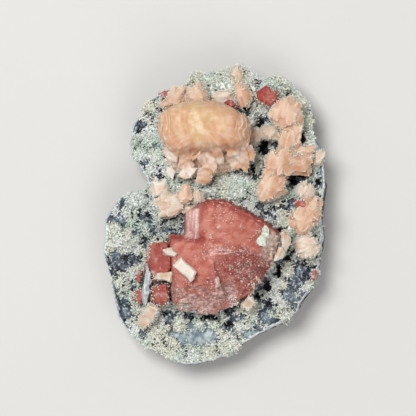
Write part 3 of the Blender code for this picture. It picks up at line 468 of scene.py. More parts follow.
def strewn(name, shape, places, directions, widths, lengths, tints, random):
    """One joined mesh of many small crystals. Each corner is the crystal's place plus its own x and y times
    its width and its z times its length, along three axes of which the third is the crystal's direction and
    the other two are turned round it at random."""
    corners_of_one, faces_of_one = shape
    d = directions / np.linalg.norm(directions, axis=1)[:, None]
    a = np.cross(d, random.normal(size=d.shape))
    a /= np.linalg.norm(a, axis=1)[:, None]
    frames = np.stack([a, np.cross(d, a), d], axis=1)
    sizes = np.stack([widths, widths, lengths], axis=1)
    scaled = corners_of_one[None] * sizes[:, None]
    points = places[:, None] + np.einsum("nkc,ncx->nkx", scaled, frames)
    faces = faces_of_one[None] + (np.arange(len(places)) * len(corners_of_one))[:, None, None]
    mesh = mesh_of(name, points.reshape(-1, 3), faces.reshape(-1, 3))
    colours = np.repeat(np.column_stack([tints, np.ones(len(tints))]), len(corners_of_one), axis=0)
    tint = mesh.attributes.new("tint", "FLOAT_COLOR", "POINT")
    tint.data.foreach_set("color", colours.astype(np.float32).ravel())
    return mesh


# Drusy zeolite: colourless to pale green crystals with bright faces, which pass and scatter light, so that
# a tuft of them looks like coarse sugar.
druse, tree, shader = finish("drusy_pale_green_zeolite", Roughness=0.32, IOR=1.50)
tint = add_node(tree, "Attribute", {"attribute_name": "tint"}, {}, "Color")
tree.links.new(add_node(tree, "Mix", {"data_type": "RGBA", "blend_type": "MULTIPLY"},
                        {0: 1, 6: tint, 7: patched(tree, 0.8, (0.3, 0.7), "#D8D8D8", "#FFFFFF")}, 2),
               shader.inputs["Base Color"])

# Every crystal of the CAD model in one mesh, which shows where the plate is covered.
standing = linked("standing", bpy.data.meshes.new("standing"))
bm = bmesh.new()
for name, node in frame["nodes"].items():
    if name != "matrix":
        bm.from_mesh(node.data)
bm.to_mesh(standing.data)
bm.free()


def crust_tints(points, random):
    """The crystals' colours: cream, pale green and grey-white, drifting over the plate, each crystal a
    little lighter or darker than the next."""
    flat = points * (1, 1, 0)
    cream, green, white = (np.array(linear(code)[:3]) for code in ("#F5F4E4", "#E0EEE2", "#FAFDFC"))
    greenness = step(noise(flat, 9, 31) + 0.5 * noise(flat, 2, 32), -0.5, 0.7)[:, None]
    whiteness = step(noise(flat, 5, 33) + 0.6 * noise(flat, 1.5, 34), -0.2, 0.9)[:, None]
    base = (cream * (1 - greenness) + green * greenness) * (1 - whiteness) + white * whiteness
    return np.minimum(base * random.uniform(0.84, 1.06, (len(points), 1)), 0.97)


random = np.random.default_rng(41)
low, high = corners(plate).min(axis=0), corners(plate).max(axis=0)


def leaning(points, reach=0.3):
    """Which way the crust thins out at each point: minus the slope of its growth, by differences over a
    step."""
    x_step, y_step = np.array((reach, 0, 0)), np.array((0, reach, 0))
    return np.column_stack([growth(points - x_step) - growth(points + x_step),
                            growth(points - y_step) - growth(points + y_step), np.zeros(len(points))])


def unit(vectors):
    """The vectors divided by their lengths."""
    return vectors / np.linalg.norm(vectors, axis=-1, keepdims=True)


def scattered(count, low, high):
    """So many places spread evenly in plan between two corners."""
    return np.column_stack([random.uniform(low[k], high[k], count) for k in (0, 1)] + [np.zeros(count)])


def sown(count):
    """So many places spread evenly over the plate, without those under a crystal, in a vug or in a gap."""
    places = scattered(count, low, high)
    landed, met = fallen(places, plate_piece)
    covered = fallen(places, standing)[1]
    keep = met & ~covered & (growth(places) > random.uniform(-0.12, 0.05, count))
    keep &= (np.minimum(places - low, high - places)[:, :2] > RIM_MARGIN).all(axis=1)
    return landed[keep & (spots(places, VUGS) < random.uniform(0.3, 0.5, count))]


landed = sown(TABLETS_TRIED)
directions = 0.9 * unit(leaning(landed) + (1e-6, 0, 0)) + (0, 0, 0.75)
directions += random.normal(0, 0.35, landed.shape)
size = random.uniform(0.4, 1, len(landed))
tablets = strewn("crust_tablets", TABLET, landed - (0, 0, 0.2), directions, 0.34 * size, 1.7 * size**1.5,
                 crust_tints(landed, random), random)
landed = sown(POINTS_TRIED)
size = random.uniform(0.3, 1, len(landed))
directions = random.normal(0, 0.55, landed.shape) + (0, 0, 0.6)
double_points = strewn("crust_points", DOUBLE_POINT, landed, directions, 0.32 * size, 0.8 * size,
                       crust_tints(landed, random), random)
placed("crust_tablets", tablets, druse, "rock")
placed("crust_points", double_points, druse, "rock")
bpy.data.objects.remove(standing)

# ---------------------------------------------------------------- the red heulandites
# Coffin-shaped and blocky crystals of brick-red heulandite. Their broad faces are smooth and a little
# pearly, with a painted sheen on the large one's pearly slope. Their edges are stacks of thin scalloped
# plates in a deeper red that is partly painted shade, and the large one is frosted low down with later
# growth and carries painted shade at its lower right. Each is its CAD crystal, meshed evenly and given
# its relief.
SPACING = 0.30             # between the corners of a crystal's mesh
EASING = 110               # rounds of smoothing that round off the large crystal's lower part
DUST_TRIED, MARGIN_TRIED = 16000, 9000


def remeshed(made, spacing):
    """Gives the object's outer skin an even mesh on a grid of this spacing."""
    remesh = made.modifiers.new("remesh", "REMESH")
    remesh.mode = "VOXEL"
    remesh.voxel_size = spacing * MM


def even_copy(node, spacing):
    """The node's shape as an even mesh: its copy is remeshed, then drawn back onto the faces of the copy,
    so that its edges stay sharp."""
    target = linked("target", merged_copy(node))
    made = linked("even", target.data.copy())
    remeshed(made, spacing)
    wrap = made.modifiers.new("draw back", "SHRINKWRAP")
    wrap.target = target
    wrap.wrap_method = "NEAREST_SURFACEPOINT"
    mesh = applied(made)
    bpy.data.objects.remove(target)
    mesh.name = node
    return mesh


def smoothed(mesh, points, times):
    """The points after each has been moved half-way to the mean of its neighbours, so many times over."""
    pairs = corner_pairs(mesh)
    return np.column_stack([evened(points[:, k], pairs, times) for k in range(3)])


def sharpness(mesh, times=6):
    """How far each corner stands out of its evened surroundings, in millimetres: above 0 along the
    edges."""
    points = corners(mesh)
    return ((points - smoothed(mesh, points, times)) * corners(mesh, "normal")).sum(axis=1)


def to_line(points, line):
    """Each point's distance in plan from a line of straight pieces, and how far along the line it lies."""
    best, along, walked = np.full(len(points), 1e9), np.zeros(len(points)), 0
    for a, b in zip(np.array(line[:-1]), np.array(line[1:])):
        length = np.linalg.norm(b - a)
        t = np.clip(((points[:, :2] - a) @ (b - a)) / length**2, 0, 1)
        distance = np.linalg.norm(points[:, :2] - a - t[:, None] * (b - a), axis=1)
        along = np.where(distance < best, walked + t * length, along)
        best = np.minimum(best, distance)
        walked += length
    return best, along


def ruffle(along, drop, width, thick, seed):
    """The edge of a stack of thin plates, from 0 to 1: it is cut into lobes about `width` across along it,
    of uneven width and depth, and each lobe into steps `thick` apart down it."""
    at = np.column_stack([along, 0.3 * drop, np.zeros(len(along))])
    lobes = 0.5 + 0.5 * np.sin(2 * np.pi * along / width + 7 * noise(at, 1.6 * width, seed))
    lobes = lobes ** 0.7 * (0.75 + 0.25 * noise(at, 2 * width, seed + 1))
    steps = (drop / thick + 0.9 * lobes + 0.5 * noise(at, 1.1, seed + 2)) % 1
    return lobes * (0.35 + 0.65 * steps)


# Heulandite: hard, clear to translucent, brick red, glassy on its sides and pearly on its cleavage.
red, tree, shader = finish("brick_red_heulandite", Roughness=0.36, IOR=1.50, Subsurface_Weight=0.25,
                           Subsurface_Radius=(1, 0.5, 0.45), Subsurface_Scale=0.0008, Coat_Weight=0.12,
                           Coat_Roughness=0.2)
colour = patched(tree, 2.6, (0.38, 0.64), "#C37E6E", "#AD5747")
colour = patched(tree, 0.7, (0.58, 0.80), colour, "#C88D7A")
# Deeper red: partly the crystal's own, on its crests and edges, and partly painted shade on its shaded
# flanks and foot.
colour = masked(tree, "deep", (0, 1), colour, patched(tree, 0.9, (0.40, 0.66), "#8E2C2A", "#A9544B"))
# The pearly slope's pale pink-white is a painted sheen.
colour = masked(tree, "pearl", (0, 1), colour, patched(tree, 0.45, (0.40, 0.62), "#E2ACA8", "#FBEEEA"))
colour = masked(tree, "tip", (0, 1), colour, patched(tree, 1.1, (0.38, 0.62), "#D9AE98", "#ECDFD5"))
# Where it is flecked, pale flecks lie over dark red patches that are painted shade.
gritty = patched(tree, 1.7, (0.38, 0.60), colour, "#7A3A32")
gritty = patched(tree, 0.7, (0.58, 0.67), gritty, "#E6CDC5", 4)
colour = masked(tree, "flecked", (0.15, 0.9), colour, gritty)
frosting = patched(tree, 1.1, (0.42, 0.66), "#A56D65", "#D4B9B2", 4)
tree.links.new(masked(tree, "frost", (0, 1), colour, frosting), shader.inputs["Base Color"])
tree.links.new(masked(tree, "frost", (0, 0.8), "#9E9E9E", "#C4C4C4"), shader.inputs["Roughness"])
roughened(tree, shader, 0.55, 0.12)

# The large crystal: lines along its scalloped crest and along the lower block's, and its frosted, flecked
# (over dark patches of painted shade), deep red (painted shade at the foot) and rough places, as x, y,
# half-lengths along X and Y, and how much.
CREST = [(-3, 5.6), (-0.6, 6), (5.2, 5), (18.9, -2.6), (23.4, -6.8), (24.6, -11)]
BLOCK_CREST = [(-17, -10), (-16, -7.8), (-9, -8), (-4, -9)]
FROSTED = [
    (12, -21.5, 8, 5, 0.45), (19, -15, 4.5, 4.5, 0.6), (-5, -33, 12, 5, 1), (5, -27.5, 6, 5.5, 0.9),
    (-13, -28.5, 4, 4.5, 0.8), (-8, -27.5, 6, 2.6, 0.5),
]
FLECKED = [(12, -20, 11, 8, 1), (6, -13.5, 12, 3, 0.6), (-2, -29, 13, 6, 0.8), (17, -9, 4, 5, 0.6)]
DEEP_FOOT = [(12, -20, 11, 8, 1.4)]
LESS_FROSTED = [(12, -20, 9, 7, 1.2)]
ROUGH_TIP = [(22, -12, 5, 6, 1)]
crystal = even_copy("heulandite_large", SPACING)
points, facing = corners(crystal), corners(crystal, "normal")
x, y, z = points.T
from_crest, along_crest = to_line(points, CREST)
from_block, along_block = to_line(points, BLOCK_CREST)
# Where each of its parts lies, from 0 to about 1: the ruffled crests, the frost, the pearly slope left of
# the crest, whose pale colour is painted sheen, the rough tip and the step across its middle.
crest = 1 - step(from_crest + 0.6 * noise(points, 1.5, 51) + 0.5 * noise(points, 3.5, 63), 1.5, 3.1)
block = (1 - step(from_block + 0.6 * noise(points, 1.5, 52), 1.2, 2.6)) * (z > 26)
frost = spots(points, FROSTED) + 0.35 * noise(points, 2.2, 53) + 0.2 * noise(points, 0.8, 54)
frost = step(frost, 0.25, 0.85)
pearl = step(x, -10.9, -10) * (1 - step(x, -5.6, -4.6)) * step(y, -8.8, -8) * (1 - step(y, 1.2, 2.6))
pearl *= 0.65 + 0.45 * noise(points * (1, 0.12, 0), 0.5, 55)
tip = step(spots(points, ROUGH_TIP) + 0.25 * noise(points, 1.4, 74), 0.30, 0.60)
ledge = (step(-y + 0.5 * noise(points, 2, 56), 13.3, 13.7) * (z > 31)
         * step(x, -1, 3) * (1 - step(x, 14, 18)))
# How far each corner moves outwards, in millimetres.
relief = -0.9 * crest * (1 - ruffle(along_crest, z, 2.8, 0.9, 62))
relief -= 0.8 * block * (1 - ruffle(along_block, z, 2.2, 0.8, 66))
relief += 0.10 * noise(points, 3, 57) + 0.05 * noise(points, 1.1, 58) - 0.25 * ledge
relief += frost * (0.55 * noise(points, 2.2, 59) + 0.30 * noise(points, 0.8, 60) - 0.2)
outer = (1 - step(facing[:, 2], 0.55, 0.85)) * step(-y, 7, 12) * step(x, -14, -9)
relief += outer * (1.1 * noise(points * (1, 1, 0.5), 2.6, 81) + 0.5 * noise(points, 1.1, 82) - 0.4)
relief += tip * (0.50 * noise(points, 1.6, 77) + 0.30 * noise(points, 0.7, 78) - 0.3)
relief += 0.12 * pearl * np.sin(2 * np.pi * x / 0.8 + 2 * noise(points, 3, 61))
terraces = noise(points * (1, 1, 0.5), 6, 70) + 0.4 * noise(points, 2, 71)
relief += 0.25 * (np.floor(3 * terraces) - 3 * terraces) / 3 * (1 - frost)
soft = (0.9 * (1 - np.maximum(crest, block)) * step(-y, 4, 10) * step(x, -14, -9))[:, None]
eased = points * (1 - soft) + smoothed(crystal, points, EASING) * soft
set_corners(crystal, eased + facing * relief[:, None])
# The red is deepest on the crests, in streaks down from them and along the left of the pearly slope,
# partly the crystal's own deeper red and partly painted shade. At the lower right foot, which faces away
# from the lamp, it is painted shade.
strip = step(x, -12.2, -11.6) * (1 - step(x, -10.6, -10)) * step(y, -8.5, -7.5)
deep = np.maximum(np.maximum(crest, block), strip) * (0.75 + 0.25 * noise(points, 1, 72)) * (1 - tip)
streaks = 0.75 * step(noise(np.column_stack([along_crest, 0.2 * from_crest, 0 * x]), 0.9, 79), -0.3, 0.6)
streaks = streaks * (1 - step(from_crest + noise(points, 2, 80), 2, 8)) * (1 - pearl)
foot = spots(points, DEEP_FOOT) * (0.7 + 0.6 * noise(points, 1.6, 76))
deep = np.maximum(np.maximum(deep, streaks), foot)
flecked = np.clip(spots(points, FLECKED) + 0.35 * noise(points, 1.8, 83), 0, 1) * (1 - crest)
frost = frost * (1 - 0.7 * crest) * (1 - tip) * (1 - 0.6 * np.clip(spots(points, LESS_FROSTED), 0, 1))
set_values(crystal, deep=np.clip(deep + 0.4 * step(sharpness(crystal), 0.05, 0.2), 0, 1),
           pearl=np.clip(pearl, 0, 1), tip=tip, flecked=flecked, frost=frost)
crystal.shade_smooth()
large = placed("large_heulandite", crystal, red, "red_heulandite", "heulandite_large")

# White grains dusted over it: thick on its lower right, along the break across its middle and at its foot.
DUSTED = [
    (17.8, -8.8, 2.2, 4, 0.8), (11, -20, 11, 8, 0.34), (8, -13.6, 8, 0.5, 1), (-4, -33, 11, 3.5, 0.5),
    (17, -9, 3, 3, 0.3), (3, -29, 6.5, 5, 0.6), (-8, -26, 5, 4.5, 0.4), (0, -14, 5, 3, 0.15),
    (6, 2.5, 9, 2.5, 0.15),
]
MARGIN = [
    (22.5, -11.5, 1.6, 4, 0.8), (-12, -32.5, 3, 2, 0.8), (20.5, -20.5, 3, 3.4, 1), (15.5, -27, 3.6, 3.6, 1),
    (9, -32, 4.4, 3.2, 1), (0, -36.5, 8, 1.8, 0.8),
]
low_corner, high_corner = corners(crystal).min(axis=0), corners(crystal).max(axis=0)


def over_crystal(count, places_of, patch, threshold):
    """So many places let fall on the large crystal, of which those are kept where the listed places, made
    ragged by noise with lumps of this size, are stronger than a random threshold between the two given."""
    landed, met = fallen(scattered(count, low_corner, high_corner), large)
    strength = spots(landed, places_of) + 0.30 * noise(landed * (1, 1, 0), patch, 73)
    strength += 0.25 * noise(landed * (1, 1, 0), 0.9, 75)
    return landed[met & (landed[:, 2] > 17) & (strength > random.uniform(*threshold, count))]


landed = over_crystal(DUST_TRIED, DUSTED, 2.6, (0.1, 1.1))
size = random.uniform(0, 1, len(landed)) ** 3
dust = (landed, random.normal(0, 0.6, landed.shape) + (0, 0, 0.7), 0.07 + 0.20 * size, 0.10 + 0.40 * size,
        crust_tints(landed, random) * (0.95, 0.86, 0.82))
landed = over_crystal(MARGIN_TRIED, MARGIN, 1.8, (0.35, 0.75))
size = random.uniform(0.4, 1, len(landed))
margin = (landed - (0, 0, 0.2), random.normal(0, 0.6, landed.shape) + (0.3, -0.3, 0.7),
          0.34 * size, 1.5 * size, crust_tints(landed, random) * (1, 0.88, 0.83))
both = (np.concatenate(pair) for pair in zip(dust, margin))
placed("white_dusting", strewn("white_dusting", DOUBLE_POINT, *both, random), druse, "pale_grains")

# The smaller ones: blocks and tablets, cracked and stepped across. The number is how frosted each one is.
BLOCKS = {
    "heulandite_left": 0.30, "heulandite_lower_left": 0.36, "heulandite_far_left": 0.28,
    "heulandite_sliver_left": 0.3, "heulandite_top": 0.2, "heulandite_by_ball": 0.1,
    "heulandite_upper_left": 0.6, "heulandite_right": 0.25, "heulandite_sliver_right": 0.3,
}
for seed, (node, frosted) in enumerate(BLOCKS.items()):
    crystal = even_copy(node, SPACING)
    points, facing = corners(crystal), corners(crystal, "normal")
    edge = step(sharpness(crystal), 0.03, 0.16)
    terrace = np.floor(3 * noise(points, 2.6, 70 + seed)) / 3
    relief = 0.50 * terrace + 0.20 * noise(points, 0.9, 80 + seed) + 0.05
    set_corners(crystal, points + facing * relief[:, None])
    set_values(crystal, deep=np.clip(0.4 * edge + 0.72 + 0.5 * noise(points, 2.2, 90 + seed), 0, 1),
               pearl=0 * edge, tip=0 * edge, flecked=0 * edge,
               frost=step(frosted + 0.7 * noise(points, 1.6, 100 + seed), 0.45, 0.8))
    crystal.shade_smooth()
    placed(node.replace("heulandite", "red_block"), crystal, red, "red_heulandite", node)

# ---------------------------------------------------------------- the stilbite clusters
# Low heaps of stilbite blades, grown together into translucent masses out of which only the blades' blunt,
# paler ends and edges stand. They ring the ball, run down the right-hand ridge and make the knobs.
DOME_POWER = 0.7           # under 1 it makes a dome's sides steeper and its top flatter than a ball's
ROOT = 6                   # how far a heap goes down from its widest part
BLADE_AREA = 3             # square millimetres of a heap for each of its blades
BLADE_OUTLINE = np.array([
    (0, -0.30), (0.30, -0.50), (0.80, -0.48), (1, -0.15), (0.96, 0.30), (0.60, 0.50), (0.15, 0.46),
    (0, 0.20),
])


def slabs(upper, lower):
    """The corners and triangles of many slabs, each between two outlines of as many corners, of which the
    upper one goes anticlockwise when seen from above."""
    number, count = upper.shape[:2]
    k, after = np.arange(count), (np.arange(count) + 1) % count
    middle = np.full(count, 2 * count)
    faces = np.vstack([np.column_stack(three) for three in (
        (middle, k, after), (middle + 1, after + count, k + count),
        (k, k + count, after + count), (k, after + count, after))])
    middles = upper.mean(axis=1, keepdims=True), lower.mean(axis=1, keepdims=True)
    points = np.concatenate([upper, lower, *middles], axis=1)
    starts = np.arange(number) * (2 * count + 2)
    return points.reshape(-1, 3), (faces[None] + starts[:, None, None]).reshape(-1, 3)


def joined(parts):
    """Many (corners, triangles) pairs as one."""
    points, faces = zip(*parts)
    starts = np.cumsum([0] + [len(part) for part in points[:-1]])
    return np.vstack(points), np.vstack([part + start for part, start in zip(faces, starts)])


def dome(outline, middle, levels, power, columns, rows):
    """A closed mass over an outline. At the turn t and the rise r it lies cos(r)^power of the way from the
    middle to the outline, and sin(r) of the way from its widest level up to its top, or down to its
    foot."""
    away = outline - middle
    turns = np.arctan2(away[:, 1], away[:, 0])
    order = np.argsort(turns)
    turn = np.linspace(-np.pi, np.pi, columns, endpoint=False)
    reach = np.interp(turn, turns[order], np.linalg.norm(away, axis=1)[order], period=2 * np.pi)
    for _ in range(6):
        reach = (np.roll(reach, 1) + 2 * reach + np.roll(reach, -1)) / 4
    rise = np.linspace(-0.5 * np.pi, 0.5 * np.pi, rows + 2)[1:-1, None]
    out = reach * np.maximum(np.cos(rise), 0) ** power
    foot, level, top = levels
    height = level + np.where(rise > 0, top - level, level - foot) * np.sin(rise) * np.ones(columns)
    around = [middle[0] + out * np.cos(turn), middle[1] + out * np.sin(turn), height]
    points = np.vstack([np.stack(around, axis=-1).reshape(-1, 3), (*middle, foot), (*middle, top)])
    k = np.arange(columns * (rows - 1))
    right_of = k - k % columns + (k + 1) % columns
    first, after, last = np.arange(columns), (np.arange(columns) + 1) % columns, columns * (rows - 1)
    lowest, highest = np.full(columns, columns * rows), np.full(columns, columns * rows + 1)
    return points, np.vstack([np.column_stack(three) for three in (
        (k, right_of, right_of + columns), (k, right_of + columns, k + columns),
        (lowest, after, first), (highest, first + last, after + last))])


def heap(outline, level, top, grain, length, random):
    """A dome with blades lying on it like shingles. At the share u of the way out to the outline a blade
    lies where the dome does and leans outwards as it does there. Its long side keeps near the grain, a
    direction in degrees."""
    outline = np.array(outline)
    after, middle = np.roll(outline, -1, axis=0), outline.mean(axis=0)
    area = abs(outline[:, 0] @ after[:, 1] - outline[:, 1] @ after[:, 0]) / 2
    count = int(area / BLADE_AREA)
    start, share = random.integers(len(outline), size=count), random.uniform(0, 1, (count, 1))
    away = outline[start] * (1 - share) + after[start] * share - middle
    u = np.sqrt(random.uniform(0, 1, count))
    sine = np.sqrt(1 - u ** (2 / DOME_POWER))
    centres = np.column_stack([middle + away * (0.9 * u)[:, None], level + (top - level) * sine - 0.2])
    normals = np.column_stack([unit(away) * u[:, None] ** 2, 0.5 + sine])
    normals = unit(normals + random.normal(0, 0.06, (count, 3)))
    angle = np.radians(grain) + random.normal(0, 0.40, count)
    alongs = unit(np.column_stack([np.cos(angle), np.sin(angle), np.zeros(count)]))
    alongs = unit(alongs - normals * (alongs * normals).sum(axis=1, keepdims=True))
    acrosses = np.cross(normals, alongs)
    long = length * random.uniform(0.6, 1.35, count)
    wide = long * random.uniform(0.25, 0.50, count)
    half = normals * random.uniform(0.25, 0.50, (count, 1))
    uneven = BLADE_OUTLINE * random.uniform(0.85, 1.15, (count, *BLADE_OUTLINE.shape)) - (0.5, 0)
    face = (centres[:, None] + uneven[..., :1] * (alongs * long[:, None])[:, None]
            + uneven[..., 1:] * (acrosses * wide[:, None])[:, None])
    return [dome(outline, middle, (level - ROOT, level, top - 0.2), DOME_POWER, 48, 20),
            slabs(face + half[:, None], face - half[:, None])]


def grown_together(name, parts, spacing, softening):
    """One closed skin round all the parts, each a (corners, triangles) pair that may run into the others.
    It is meshed evenly on a grid of this spacing and evened out a few times."""
    made = linked(name, mesh_of(name, *joined(parts)))
    remeshed(made, spacing)
    mesh = applied(made)
    set_corners(mesh, smoothed(mesh, corners(mesh), softening))
    mesh.name = name
    return mesh


def stilbite(name, warm, pale, thin, glow, sunny=None):
    """Stilbite: pearly and translucent, its colour drifting between two shades, with thin edges that are
    paler and a fine grain. Light enters it and spreads a millimetre or two."""
    made, tree, shader = finish(name, Roughness=0.50, IOR=1.50, Subsurface_Weight=0.55,
                                Subsurface_Radius=(1, 0.6, 0.42), Subsurface_Scale=glow * MM)
    colour = masked(tree, "tint", (0, 1), warm, pale)
    # With a colour for the top, the ball's top is painted lighter towards its middle: painted light, over
    # cream patches.
    if sunny:
        colour = masked(tree, "sunny", (0, 1), colour, patched(tree, 2.4, (0.46, 0.60), sunny, "#D9C29D"))
        # Painted shade, in a deeper orange, in the ball's folds and creases.
        colour = masked(tree, "fold", (0, 1), colour, "#CC8A60")
    colour = masked(tree, "edge", (0, 1), colour, thin)
    tree.links.new(colour, shader.inputs["Base Color"])
    roughened(tree, shader, 0.7, 0.12)
    return made


peach = stilbite("peach_stilbite", "#C49475", "#D6BAA2", "#EAD8C9", 1.8)
pale = stilbite("pale_pink_stilbite", "#CCAD95", "#D8CFC0", "#E8E0D6", 1.5)
SLOTS = {peach: "peach_stilbite", pale: "pale_stilbite"}

# Each cluster's stilbite and its heaps. A heap has the outline of its widest part in plan, the heights of
# that part and of its top, the direction in degrees along which its blades run, and their length.
HEAPS = {
    "stilbite_fan_upper_left": (peach, [
        ([(-16.9, 41.6), (-16.4, 44.1), (-14.9, 45.3), (-12.8, 46), (-11, 45.1), (-9.9, 42.2),
          (-10.2, 39.7), (-14.2, 38.6), (-18.5, 37.6), (-19.6, 39)], 20, 25, 40, 5),
        ([(-10.5, 43.9), (-7.6, 45.3), (-5.5, 46.5), (-4, 46), (-2.6, 43.9), (-1.5, 41.3), (-2.6, 39.5),
          (-6.9, 39.2), (-10.1, 40)], 21, 26, 100, 4.5)]),
    "stilbite_fan_top": (pale, [
        ([(-1.7, 42.6), (0.2, 43.7), (2.3, 44.2), (5.2, 44.4), (7.4, 42.9), (7.7, 40.7), (5.2, 39.3),
          (0.9, 39.3)], 19.5, 23.5, 10, 4)]),
    "stilbite_column_top": (peach, [
        ([(7.3, 46.9), (8.8, 47.8), (10.9, 46.9), (12.4, 44.7), (13.3, 42.2), (12.4, 39.7), (10.6, 38.4),
          (8.1, 39.3), (7, 41.9), (8.1, 44.4)], 19.5, 23.5, 110, 5)]),
    "stilbite_column_tip": (pale, [
        ([(6.2, 53.2), (8, 53.7), (9.8, 52.1), (9.8, 48.8), (8, 47), (6.5, 48.5)], 18, 21.5, 90, 3.5)]),
    "stilbite_fan_right_upper": (peach, [
        ([(19.5, 37.1), (22.2, 39.2), (25.4, 41.7), (28.3, 41.9), (30.3, 39.9), (30.8, 37.2), (31.7, 34.3),
          (31.4, 31.7), (24.6, 31.5), (21.5, 32.2), (19.6, 34.4)], 22, 26.5, 75, 6),
        ([(24.5, 32.9), (31.4, 33.5), (31.4, 31), (30.4, 28.2), (29.3, 25.7), (30, 23.5), (26.8, 22.5),
          (23.4, 23.2), (23.1, 25.5), (24.3, 27.8)], 21, 25, 80, 5.5)]),
    "stilbite_fan_right_lower": (peach, [
        ([(17.3, 20), (21.1, 22.1), (24.7, 23.3), (29.3, 23.9), (29.7, 20), (27.5, 16.4), (25.3, 13.9),
          (19.6, 14.3), (18.2, 15), (18.9, 17.3)], 21, 25.5, 60, 6),
        ([(18.2, 15.8), (17.2, 12.2), (17.9, 10.1), (15.1, 8.6), (14.7, 6.7), (16.7, 4), (18.9, 5.2),
          (22, 5.8), (24.1, 7.4), (25.2, 12.2), (26.8, 15), (23.2, 16.5)], 20, 23.5, 65, 6)]),
    "stilbite_small_right": (peach, [
        ([(28.9, 23.3), (31.1, 24.2), (34.5, 23.7), (35.3, 22.2), (35, 19.3), (32.1, 19),
          (29.3, 20.1)], 20, 23.5, 20, 4.5)]),
    "stilbite_pale_edge": (pale, [
        ([(34.6, 22.4), (36.4, 23.6), (38.5, 22.3), (39.2, 20.2), (38.5, 18), (36, 17.3),
          (34.6, 18.8)], 17.5, 20.5, 60, 3.5)]),
    "stilbite_arch": (pale, [
        ([(15.4, 31.3), (18, 32.2), (20.8, 32), (23.7, 31.2), (24.1, 28), (21.9, 26.6), (19.4, 26.9),
          (16.5, 28)], 15.5, 18.5, 0, 4.5),
        ([(12.1, 30.6), (15.4, 31.7), (16.5, 29.5), (15.4, 26.6), (14.3, 24.5), (12.5, 25.6),
          (11.8, 28.1)], 15, 18, 80, 4)]),
    "stilbite_pale_right": (pale, [
        ([(28.8, 9.8), (31.3, 11), (34.2, 10.5), (35.6, 8.7), (34.9, 5.8), (31.7, 5.1),
          (29.2, 6.2)], 18, 21.5, 80, 4.5)]),
    "stilbite_knob_right_upper": (peach, [
        ([(31.9, 4.6), (35.6, 5.4), (37.6, 4.2), (37.7, -1.4), (35.2, -4.6), (32.4, -6.4), (28.1, -5.4),
          (27.2, -4.2), (29.2, 0.3), (30.3, 2.3)], 20, 24, 60, 7)]),
    "stilbite_knob_right_lower": (pale, [
        ([(28.7, -8.6), (32, -7.1), (34.5, -7.9), (36, -9.3), (37.7, -12.5), (36.3, -14.7), (33.3, -15.9),
          (29.7, -14.8), (28.6, -11.8)], 18.5, 22.5, 30, 4)]),
    "stilbite_knob_left": (pale, [
        ([(-20.6, 5.2), (-19, 7.4), (-15.7, 8.1), (-12.8, 7), (-12.1, 3.7), (-13.2, 0.5), (-16.1, -0.8),
          (-19, 0.9), (-20.4, 3)], 19.5, 23.5, 20, 6),
        ([(-23.5, 10.7), (-21.7, 12.1), (-19.1, 12.7), (-17, 11.4), (-16.6, 8.5), (-18.4, 6.7),
          (-21.7, 6.4), (-23.5, 8.2)], 17.5, 21, 80, 4.5),
        ([(-12.3, 3.3), (-9.4, 3.6), (-6.9, 2.7), (-7.6, 0.7), (-10.8, 0.6),
          (-12.3, 1.7)], 17.5, 20.5, 0, 3.5)]),
    "stilbite_knob_left_inner": (peach, [
        ([(-12.8, 8.8), (-11, 10.2), (-8.9, 9.8), (-8.1, 7.7), (-8.5, 4.8), (-10.3, 3), (-12.5, 4.1),
          (-13.2, 6.6)], 19.5, 23.2, 90, 5)]),
    "stilbite_knob_middle": (pale, [
        ([(-8.4, 8.5), (-6.4, 9.2), (-4.3, 8.1), (-3.7, 5.6), (-5, 3.4), (-7.1, 3.4),
          (-8.4, 5.2)], 18.5, 22, 110, 4)]),
}
# The palest places of the clusters: x, y, half-lengths along X and Y, and how pale.
PALE = [
    (-14, 44, 5, 3, 0.6), (-6.5, 43, 4, 3, 0.8), (20.5, 37.5, 2.2, 3, 0.8), (29.8, 35, 1.6, 1.6, 1),
    (29.5, 29, 2, 4, 0.6), (18.2, 12.5, 1.6, 2, 0.9), (15.8, 7.5, 2, 1.6, 0.8), (33.5, 22.8, 2.4, 1, 0.6),
    (30, -1.5, 1.6, 3, 0.9), (35.5, 2.5, 2, 2, 0.5), (21.5, 20, 2, 1.4, 0.5), (-20, 11.5, 3, 1.5, 0.9),
]
BLADE_MESH = 0.26          # between the corners of a cluster's mesh
random = np.random.default_rng(61)
for seed, (node, (material, heaps)) in enumerate(HEAPS.items()):
    mesh = grown_together(node, [part for one in heaps for part in heap(*one, random)], BLADE_MESH, 5)
    points, facing = corners(mesh), corners(mesh, "normal")
    angle = np.radians(heaps[0][3])
    along = points[:, 0] * np.cos(angle) + points[:, 1] * np.sin(angle)
    across = points[:, 1] * np.cos(angle) - points[:, 0] * np.sin(angle)
    stripes = noise(np.column_stack([0.22 * along, across, 0.5 * points[:, 2]]), 0.8, 150 + seed)
    drift = 0.5 + 0.45 * noise(points, 2.6, 130 + seed) + 0.40 * stripes
    set_values(mesh, tint=np.clip(drift + spots(points, PALE), 0, 1),
               edge=0.9 * step(sharpness(mesh, 4), 0.01, 0.07))
    set_corners(mesh, points + facing * (0.10 * noise(points, 1.4, 110 + seed) + 0.12 * stripes)[:, None])
    mesh.shade_smooth()
    placed(node.replace("stilbite", "blades_of"), mesh, material, SLOTS[material], node)

